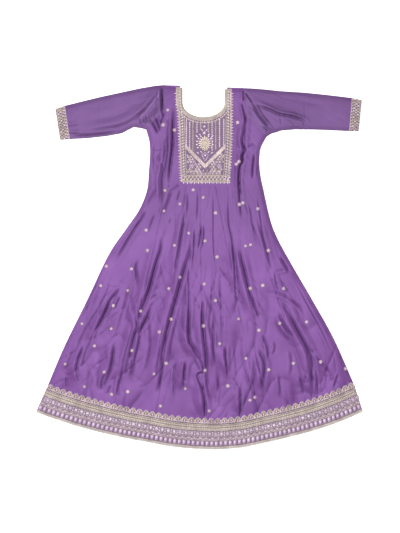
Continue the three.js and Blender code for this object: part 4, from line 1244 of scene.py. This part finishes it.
def hem_work():
    """The band's work, and apart from it the leaves that stand on the arches' close stitches."""
    work, leaves = new_work(), new_work()
    half = BAND_LENGTH / 2
    for k in range(ARCHES):  # their tips stand on the skirt above the band's seam
        x = -half + (k + 0.5) * BAND_LENGTH / ARCHES
        work["patch"].append(arch(x, 9.5, 10.9, -18.8, 14))
        work["gold"] += [arch(x, 9.5, 11.8, -20.8, 14), arch(x, 9.5, 10.6, -18.9, 14)]
        leaves["pale_petal"] += fan(x, 10, -146, -34, 3, 3.4, 13.8, 4.6) + [(x, 4.5, x, -3.0, 4.2)]
        leaves["brown_petal"] += fan(x, 10, -118, -62, 2, 4.6, 16.2, 4.4)
        leaves["brown_petal"] += [(x - 9.0, 9, x - 6.4, -4.5, 3.8), (x + 9.0, 9, x + 6.4, -4.5, 3.8)]
        leaves["pearl"].append(bead(x, 7.4, 3.4))
        work["pale_petal"] += [(x - 11.8, 2, x - 10.2, -5.5, 2.4), (x + 11.8, 2, x + 10.2, -5.5, 2.4)]
        work["seed"] += beads_on(arch(x, 9.5, 12.9, -22.8, 14), 3.6, 1.8)
        work["dark_dot"] += [bead(x + 12.6, 6.3, 5.6)]
    for depth, kind in HEM_LINES:
        work[kind].append(straight(-half + 1, depth, half - 1, depth, 8))
    for depth in HEM_CORDS:
        work["cord"].append(straight(-half + 1.2, depth, half - 1.2, depth, 8))
    for k in range(BRAID_STITCHES):  # two rows of slanted stitches that meet in a point
        x = -half + 3 + k * (BAND_LENGTH - 10) / BRAID_STITCHES
        work["gold_petal"] += [(x, 17.0, x + 4.4, 23.7, 4.8), (x + 4.4, 25.1, x, 32.2, 4.8)]
        if k % 3 == 0:
            work["bright_petal"] += [(x - 1, 18.0, x + 6.4, 22.6, 4.6), (x + 6.4, 26.4, x - 1, 31.0, 4.6)]
    pitch = BAND_LENGTH / LATTICE
    for k in range(LATTICE):  # crossed threads with large discs, and small arches below
        x = -half + (k + 0.5) * pitch
        node = x + pitch / 2 if k < LATTICE - 1 else x + pitch / 2 - 5
        for way in (-1, 1):
            work["gold"].append(straight(x - way * pitch / 2, 37.4, x + way * pitch / 2, 56.4, 5))
        work["sequin"] += [bead(node, 46.9, 8.8), bead(x, 52.0, 4.8)]
        work["pearl"] += [bead(node, 46.9, 2.2), bead(x, 41.4, 4.0), bead(x, 65.2, 4.2)]
        work["fine_gold"].append(ring(node, 46.9, 5.2, 10))
        work["dark_dot"] += [bead(node + 7.8 * math.cos(t), 46.9 + 7.0 * math.sin(t), 3.6)
                             for t in np.radians([0, 48, 132, 180, 228, 312])]
        work["lilac"].append(arch(x, 70.6, 7.8, -11.4, 10))
        work["gold"].append(arch(x, 70.6, 4.8, -7.6, 8))
        work["dark_dot"] += [bead(node, 61.0, 4.0), bead(x + 6.1, 66.5, 2.2), bead(x - 6.1, 66.5, 2.2),
                             bead(x, 69.4, 2.6)]
        work["gold_petal"].append((node, 70.8, node, 64.2, 4.2))
    for k in range(BARS):  # upright bars with two seed beads between each two
        x = -half + (k + 0.5) * BAND_LENGTH / BARS
        work["bar"].append((x, 73.8, x, 91.6, 11.4))
        if k < BARS - 1:
            work["seed"] += [bead(x + BAND_LENGTH / BARS / 2, y, 1.8) for y in (76.2, 89.4)]
    return work, leaves


hem, hem_leaves = hem_work()


def band_line(points):
    return band_xy(0.5 + points[:, 0] / BAND_LENGTH, points[:, 1])


def on_front_band(points):
    xy = band_line(points)
    return np.column_stack([xy, lie(xy)])


def under_back_band(points):
    return np.column_stack([band_line(points), np.full(len(points), BACK_BAND_FOOT)])


def on_arches(points):
    return on_front_band(points) + (0, 0, LEAF_LIFT)


sew("hem_front", hem, on_front_band)
sew("hem_leaf", hem_leaves, on_arches)
plain_hem = {kind: hem[kind] for kind in ("patch", "gold", "cord", "bar")}  # for the back's band
sew("hem_back", plain_hem, under_back_band, turn=-1, flat=0.4)

# %% [markdown]
# ### Yoke
#
# The yoke's panel has a border of dark dots and pearls with small spikes outside, two groups of lines
# round the neck with pearls and dots between, eleven upright lines that end on a wide V, a bouquet in
# the middle, sprays in the lower corners, and arches and a border along the foot. Its edges lean a
# little because the cloth does, so borders are drawn from the edges and not from a ruler.

# %% Yoke's edges and ground
YOKE_LEFT = [(-71, 306), (-74, 370), (-76.5, 440), (-78.5, 513), (-81, 560), (-87, 600), (-89.5, 645),
             (-90, 664)]
YOKE_RIGHT = [(105.5, 304), (110.5, 370), (115, 440), (117, 510), (117.5, 565), (117, 640), (117, 658)]


def yoke_edge(side, y, inset):
    x, ys = np.array(YOKE_LEFT if side < 0 else YOKE_RIGHT, float).T
    return np.interp(y, ys, x) - side * inset


DRAWN_UP, DRAWN_FROM, DRAWN_OVER = 6.5, 366, 58
GROUND_LIFT, WORK_LIFT = 0.45, 0.35  # above the bodice, so that the work is sunk 0.1 mm into its ground


def drawn_up(xy):
    """The panel's foot is drawn up a little, so its last rows stand closer."""
    return np.column_stack([xy[:, 0], xy[:, 1] + DRAWN_UP * smooth((DRAWN_FROM - xy[:, 1]) / DRAWN_OVER)])


def on_yoke(points):
    xy = drawn_up(points)
    return np.column_stack([xy, lie(xy) + WORK_LIFT])


yoke_rows = edge_rows(YOKE_LEFT, YOKE_RIGHT)
yoke_cloth = cloth("cloth_yoke_ground", "yoke_embroidery", yoke_ground, (197, 357), (54, 96),
                   lambda u, v: ((xy := drawn_up(yoke_rows(u, v))), lie(xy) + GROUND_LIFT),
                   thickness=0.6, flat_area=0.052)
cut_neck(yoke_cloth, 0.0)
print("yoke's ground:", len(yoke_cloth.data.polygons), "faces after the neck is cut")

# %% Yoke's motif
SIDE_LINES = [(2.6, "gold"), (4.4, "gold"), (6.0, "fine_gold"), (21.0, "gold"), (22.6, "fine_gold")]
NECK_LINES = [(11.4, "gold"), (12.9, "gold"), (14.2, "fine_gold"), (20.2, "gold"), (21.8, "gold")]
FOOT_LINES = [(334.5, "gold"), (332.6, "fine_gold"), (331, "gold"), (312.0, "gold"), (310.2, "gold"),
              (308, "fine_gold")]
UPRIGHTS = [(-51, 446), (-39, 436), (-27, 427), (-12, 494), (2, 505), (17, 528), (30.5, 494), (44, 427),
            (57, 432), (71.6, 440), (87, 447)]  # where each line stands and ends
V_LEFT, V_TIP, V_RIGHT = (-55, 446), (18, 371), (93, 446)
BOUQUET = (17, 455)


def yoke_work():
    work = new_work()
    # borders down both sides: outer lines, dark dots in pairs, inner double line, spikes outside
    for side in (-1, 1):
        top = 655 if side < 0 else 650
        for inset, kind in SIDE_LINES:
            ys = np.arange(308, top if inset < 9 else 560, 8.0)
            work[kind].append(np.column_stack([yoke_edge(side, ys, inset), ys]))
        for k, y in enumerate(np.arange(312, top - 4, 10.6)):
            inner, outer, middle = (yoke_edge(side, y, inset) for inset in (17.6, 9.4, 13.5))
            work["dark_dot"] += [bead(inner, y + 1.6, 6.2), bead(outer, y - 1.2, 6.2)]
            work["pearl"].append(bead(middle, y + 5.3, 4.6))
            work["gold_petal"] += [(yoke_edge(side, y + 5.3, 8), y + 5.3,
                                    yoke_edge(side, y + 5.3, 19), y + 5.3, 3.4)]
            spike = "pale_petal" if k % 2 else "gold_petal"
            work[spike] += [(yoke_edge(side, y, 4), y, yoke_edge(side, y, -6.6 if k % 2 else -5.4), y, 4.8)]
    # round the neck: lines, with pearls, dots and small petals between them
    for outset, kind in NECK_LINES:
        line = neck_line(outset)
        work[kind].append(along(line, np.linspace(0.02, 0.98, 90)))
    middle = along(neck_line(17.2), np.linspace(0.03, 0.97, 41))
    outer = along(neck_line(23.2), np.linspace(0.03, 0.97, 41))
    work["pearl"] += [bead(x, y, 2.6) for x, y in middle[::2]]
    work["dark_dot"] += [bead(x, y, 3.6) for x, y in middle[1::2]]
    work["gold_petal"] += [(*a, *b, 3.8) for a, b in zip(middle, outer)]
    # upright lines down to the V
    for k, (x, foot) in enumerate(UPRIGHTS):
        head = 548 if abs(x - 14) > 55 else 538
        if k % 2 == 1 or k in (0, 10):
            work["fine_gold"] += [straight(x - 1.9, foot, x - 1.9, head),
                                  straight(x + 1.9, foot, x + 1.9, head)]
            work["pale_petal"] += [(x, y, x, y + 8.6, 4.2) for y in np.arange(foot + 1, head - 8, 8.2)]
        else:
            work["gold"] += [straight(x, foot, x, head)]
            work["fine_gold"] += [straight(x - 1.8, foot + 2, x - 1.8, head),
                                  straight(x + 1.8, foot + 2, x + 1.8, head)]
            work["seed"] += [bead(x, y, 2.2) for y in np.arange(foot + 4, head, 12.0)]
    # the V band
    for lift in (-7.5, -6, -4.5, -3, -1.5, 0, 1.5, 3, 4.5, 6, 7.5):
        kind = "lilac" if abs(lift) > 7 else "gold"
        left, tip, right = ((x, y + lift) for x, y in (V_LEFT, V_TIP, V_RIGHT))
        work[kind].append(np.vstack([straight(*left, *tip), straight(*tip, *right)]))
    work["pearl"] += [bead(*V_TIP, 4.6), bead(-30, 420.5, 3.2), bead(66, 419.5, 3.2)]
    # bouquet
    work["gold_disc"] += [bead(17, 443, 33), bead(17, 456, 40), bead(17, 468, 31)]
    work["gold_petal"] += fan(17, 456, 0, 337.5, 16, 10, 26.0, 6.6)
    work["bright_petal"] += fan(*BOUQUET, 15, 345, 8, 1.5, 11, 4.6)
    work["bright_petal"] += [(17, 470, 17, 486, 6.4), (17, 440, 17, 426, 6.0)]
    work["brown_petal"] += fan(*BOUQUET, 11, 348.5, 16, 11, 21.0, 2.8)
    work["dark_dot"] += [bead(17 + 19 * math.cos(t), 455 + 22 * math.sin(t), 2.6)
                         for t in np.radians(np.arange(15, 360, 30))]
    work["dark_dot"] += [bead(17 + 26.5 * math.cos(t), 455 + 27.5 * math.sin(t), 3.4)
                         for t in np.radians(np.arange(-30, 230, 26))]
    work["pale_petal"] += fan(*BOUQUET, -30, 62, 5, 25, 34, 7.4) + fan(*BOUQUET, 118, 210, 5, 25, 34, 7.4)
    work["fine_gold"] += [ring(*BOUQUET, 5.2)]
    work["pearl"] += [bead(*BOUQUET, 4.0), bead(15.5, 494, 8.4), bead(15.5, 518, 5.6), bead(18.5, 411, 8.0)]
    work["lilac"] += [ring(15.5, 494, 6.0), ring(15.5, 518, 4.6)]
    work["pale_petal"] += [(-5, 492, 4, 484, 6.0), (36, 492, 27, 484, 6.0), (-17, 487, -7, 477, 6.6),
                           (50, 487, 40, 477, 6.6), (4, 509, 11, 501, 5.2), (27, 509, 20, 501, 5.2)]
    work["pale_petal"] += [(0, 428, 9, 420, 6.0), (35, 428, 27, 420, 6.0), (-14, 424, -3, 418, 6.0),
                           (49, 424, 38, 418, 6.0)]
    work["dark_dot"] += [bead(x, y, 3.6) for x, y in ((-9, 431), (43, 431), (10, 414), (27, 414),
                                                      (-2, 498), (34, 498), (8, 514), (24, 514))]
    for reach in (0, 3.2):
        work["lilac"].append(np.array([
            (18, 421 + reach), (8 - reach, 413), (12 - reach / 2, 402), (18, 393 - reach),
            (24 + reach / 2, 402), (28 + reach, 413), (18, 421 + reach)]))
    # sprays fill the two lower corners below the V
    for side, x, y in ((-1, -31, 372), (1, 70, 372)):
        work["pale_petal"] += fan(x, y, 0, 300, 6, 2.6, 8.6, 5.0)
        work["pearl"] += [bead(x, y, 4.4), bead(x + side * 17, y + 40, 4.4),
                          bead(x - side * 12, y + 30, 3.8)]
        work["fine_gold"].append(ring(x, y, 9.6, 16))
        for row in range(10):
            for column in range(7):
                px = x - side * (31 - 11 * column - (5.5 if row % 2 else 0))
                py = 350 + 9.4 * row
                under_v = 446 - 75 / 74 * abs(px - (-55 if px < 18 else 92)) - 15
                inside = yoke_edge(-1, py, 27) < px < yoke_edge(1, py, 27)
                if not inside or py > under_v or math.hypot(px - x, py - y) < 13.5:
                    continue
                turn = (37 * row + 61 * column) % 72
                kind = "pale_petal" if (row + 2 * column) % 5 == 0 else "gold_petal"
                work[kind] += fan(px, py, turn, turn + 270, 4, 0.7, 6.0, 4.2)
                work["dark_dot"].append(bead(px + 5.5, py + 3.6, 6.2))
                if (row + column) % 2:
                    work["pearl"].append(bead(px, py, 4.0))
    # arches above the foot border
    for k in range(8):
        x = -30 + k * 13.9
        work["dark_dot"] += [bead(x + 6.95, 352, 5.0), bead(x, 346.5, 3.2)]
        work["gold"].append(arch(x, 336, 5.9, 14.5, 8))
        work["fine_gold"].append(arch(x, 336, 3.2, 8.4, 6))
        work["pearl"].append(bead(x, 340, 3.0))
        work["gold_petal"] += [(x, 351.5, x, 358.5, 4.2), (x + 6.9, 337, x + 6.9, 346, 2.6)]
    # foot border
    for y, kind in FOOT_LINES:
        work[kind].append(straight(yoke_edge(-1, y, 3), y, yoke_edge(1, y, 3), y))
    for k in range(13):
        x = -61 + k * 13.6
        work["dark_dot"] += [bead(x, 326.6, 6.4), bead(x + 6.8, 316.6, 6.4)]
        for fx, fy in ((x + 6.8, 326.4), (x, 316.6)):
            work["gold_petal"] += fan(fx, fy, 45, 315, 4, 0.6, 4.4, 3.0)
        work["pearl"] += [bead(x + 6.8, 326.4, 4.2), bead(x, 316.6, 4.2)]
        work["pale_petal"] += [(x, 309, x, 298.4, 5.6)]
        work["gold_petal"] += [(x + 6.8, 309, x + 6.8, 301.0, 4.4)]
    return work


sew("yoke", yoke_work(), on_yoke)

# %% [markdown]
# ### Cuffs and scattered flowers
#
# The cuff bands are worked all over with three rows of small four-petalled flowers between their
# border lines. The cloth's small flowers (butis) are five pale petals round a pearl, with a gold stitch
# between each two and a brown petal beyond it, which darkens the cloth round each flower, and
# neighbours lie at different turns.

# %% Cuffs' motif
CUFF_ROUND, CUFF_DEEP = 122.0, 36.0
CUFF_LINES = [(1.4, "lilac"), (3.0, "fine_gold"), (8.6, "fine_gold"), (30.6, "gold"), (34.8, "gold")]
CUFF_FLOWERS = 11  # in each row


def cuff_work():
    work = new_work()
    for depth, kind in CUFF_LINES:
        work[kind].append(straight(depth, 1.5, depth, CUFF_ROUND - 1.5, 4))
    pitch = CUFF_ROUND / CUFF_FLOWERS
    for k in range(CUFF_FLOWERS):
        y = (k + 0.5) * pitch
        work["gold_petal"] += [(2.2, y, 7.8, y, 6.0), (31.4, y, 34.4, y, 5.0)]
        for row, depth in enumerate((12.6, 19.4, 26.4)):
            place = y + (pitch / 4 if row % 2 else -pitch / 4) + 0.9 * math.sin(2.3 * k + row)
            kind = "bright_petal" if (k + row) % 2 else "gold_petal"
            work[kind] += fan(depth, place, 45, 315, 4, 0.5, 4.6, 3.2)
            if (2 * k + row) % 3 == 0:
                work["pearl"].append(bead(depth, place, 5.0))
            if place + pitch / 2 < CUFF_ROUND - 3:
                work["dark_dot"].append(bead(depth + 1.2 * math.cos(1.7 * k), place + pitch / 2, 6.4))
        if k < CUFF_FLOWERS - 1:
            work["dark_dot"] += [bead(5.2, y + pitch / 2, 4.2), bead(32.6, y + pitch / 2, 3.6)]
    return work


def on_cuff(sections):
    place = tube_place(sections)

    def to_cloth(points):
        turn = np.arccos(1 - 2 * np.clip(points[:, 1] / CUFF_ROUND, 0.004, 0.996)) / math.pi
        xy, z = place(points[:, 0] / CUFF_DEEP, turn / 2)
        return np.column_stack([xy, z])
    return to_cloth


sew("cuff_left", cuff_work(), on_cuff(CUFF_LEFT))
sew("cuff_right", cuff_work(), on_cuff(CUFF_RIGHT))

# %% Butis
BUTIS = [
    (-120, 579), (-137, 524), (-95, 505), (138, 533), (143, 388), (133, 379), (-130, 282),
    (-26, 284), (11, 256), (-75, 232), (-134, 206), (57, 199), (145, 230), (158, 236), (213, 214),
    (-200, 135), (-42, 124), (18, 95), (-95, 79), (167, 77), (186, 81), (-195, 60), (252, 60),
    (62, 36), (-347, 2), (-254, -8), (-75, -39), (15, -64), (-368, -70), (-116, -81), (-268, -88),
    (185, -80), (231, -69), (308, -81), (56, -125), (-321, -144), (-220, -164), (-107, -194),
    (142, -193), (-437, -211), (-329, -229), (-151, -241), (12, -219), (217, -235), (294, -209),
    (393, -204), (-391, -293), (72, -284), (-252, -310), (169, -339), (-499, -360), (-126, -357),
    (344, -357), (445, -352), (253, -381), (537, -377), (18, -383), (-355, -389), (-171, -396),
    (-428, -443), (-55, -451), (102, -441), (-268, -462), (-328, -472), (184, -493), (202, -483),
    (-147, -515), (33, -533),
]


def on_cloth(points):
    return np.column_stack([points, lie(points) + 0.1])


def buti_work(places):
    work = new_work()
    for k, (x, y) in enumerate(places):
        start, size = (k * 47) % 72, 0.9 + 0.25 * ((k * 29) % 10) / 9
        work["pale_petal"] += fan(x, y, start, start + 288, 5, 1.0 * size, 6.4 * size, 3.6 * size)
        work["gold_petal"] += fan(x, y, start + 36, start + 324, 5, 2.4 * size, 6.6 * size, 1.8 * size)
        work["brown_petal"] += fan(x, y, start + 36, start + 324, 5, 4.6 * size, 9.2 * size, 3.4)
        work["pearl"].append(bead(x, y, 3.4 * size))
    return work


sew("buti", buti_work(BUTIS), on_cloth)

# %% [markdown]
# ## Stage
#
# A pale floor, a white studio round it, one large soft light from the upper left, a weaker one
# overhead and a camera that looks straight down.

# %% Floor, light and camera
bm = bmesh.new()
bmesh.ops.create_grid(bm, x_segments=1, y_segments=1, size=30)
bmesh.ops.translate(bm, verts=bm.verts, vec=(0, 0, -0.0002))
floor_mesh = bpy.data.meshes.new("floor")
bm.to_mesh(floor_mesh)
bm.free()
floor = bpy.data.objects.new("floor", floor_mesh)
bpy.context.scene.collection.objects.link(floor)
floor_finish, _, _ = new_material("pale_paper", {"Base Color": light_of("#fbfbfb"), "Roughness": 0.9,
                                                 "Specular IOR Level": 0.1})
floor.data.materials.append(floor_finish)


def area_light(name, place, aim, size, power, colour="#ffffff"):
    lamp = bpy.data.lights.new(name, "AREA")
    lamp.shape, lamp.size, lamp.energy = "SQUARE", size, power
    lamp.color = light_of(colour)[:3]
    obj = bpy.data.objects.new(name, lamp)
    obj.location = place
    obj.rotation_euler = (Vector(aim) - Vector(place)).to_track_quat("-Z", "Y").to_euler()
    bpy.context.scene.collection.objects.link(obj)
    return obj


area_light("key", (-6.8, 5.2, 6.4), (0, 0, 0), 3.2, 980)
area_light("overhead", (-0.4, 0.3, 6.5), (0, 0, 0), 3.4, 440)
world = bpy.data.worlds.new("studio")
bpy.context.scene.world = world
world.use_nodes = True
world.node_tree.nodes["Background"].inputs["Color"].default_value = light_of("#ffffff")
world.node_tree.nodes["Background"].inputs["Strength"].default_value = 0.4

CAMERA_HEIGHT, FRAME_HEIGHT = 6.0, 1.972
camera = bpy.data.cameras.new("camera")
camera.sensor_width = 36
camera.lens = camera.sensor_width * CAMERA_HEIGHT / FRAME_HEIGHT
camera_obj = bpy.data.objects.new("camera", camera)
camera_obj.location = (-0.0009, 0.0029, CAMERA_HEIGHT)
bpy.context.scene.collection.objects.link(camera_obj)
bpy.context.scene.camera = camera_obj
bpy.context.scene.view_settings.view_transform = "Standard"
print("camera:", CAMERA_HEIGHT, "m up, lens", round(camera.lens, 1), "mm")
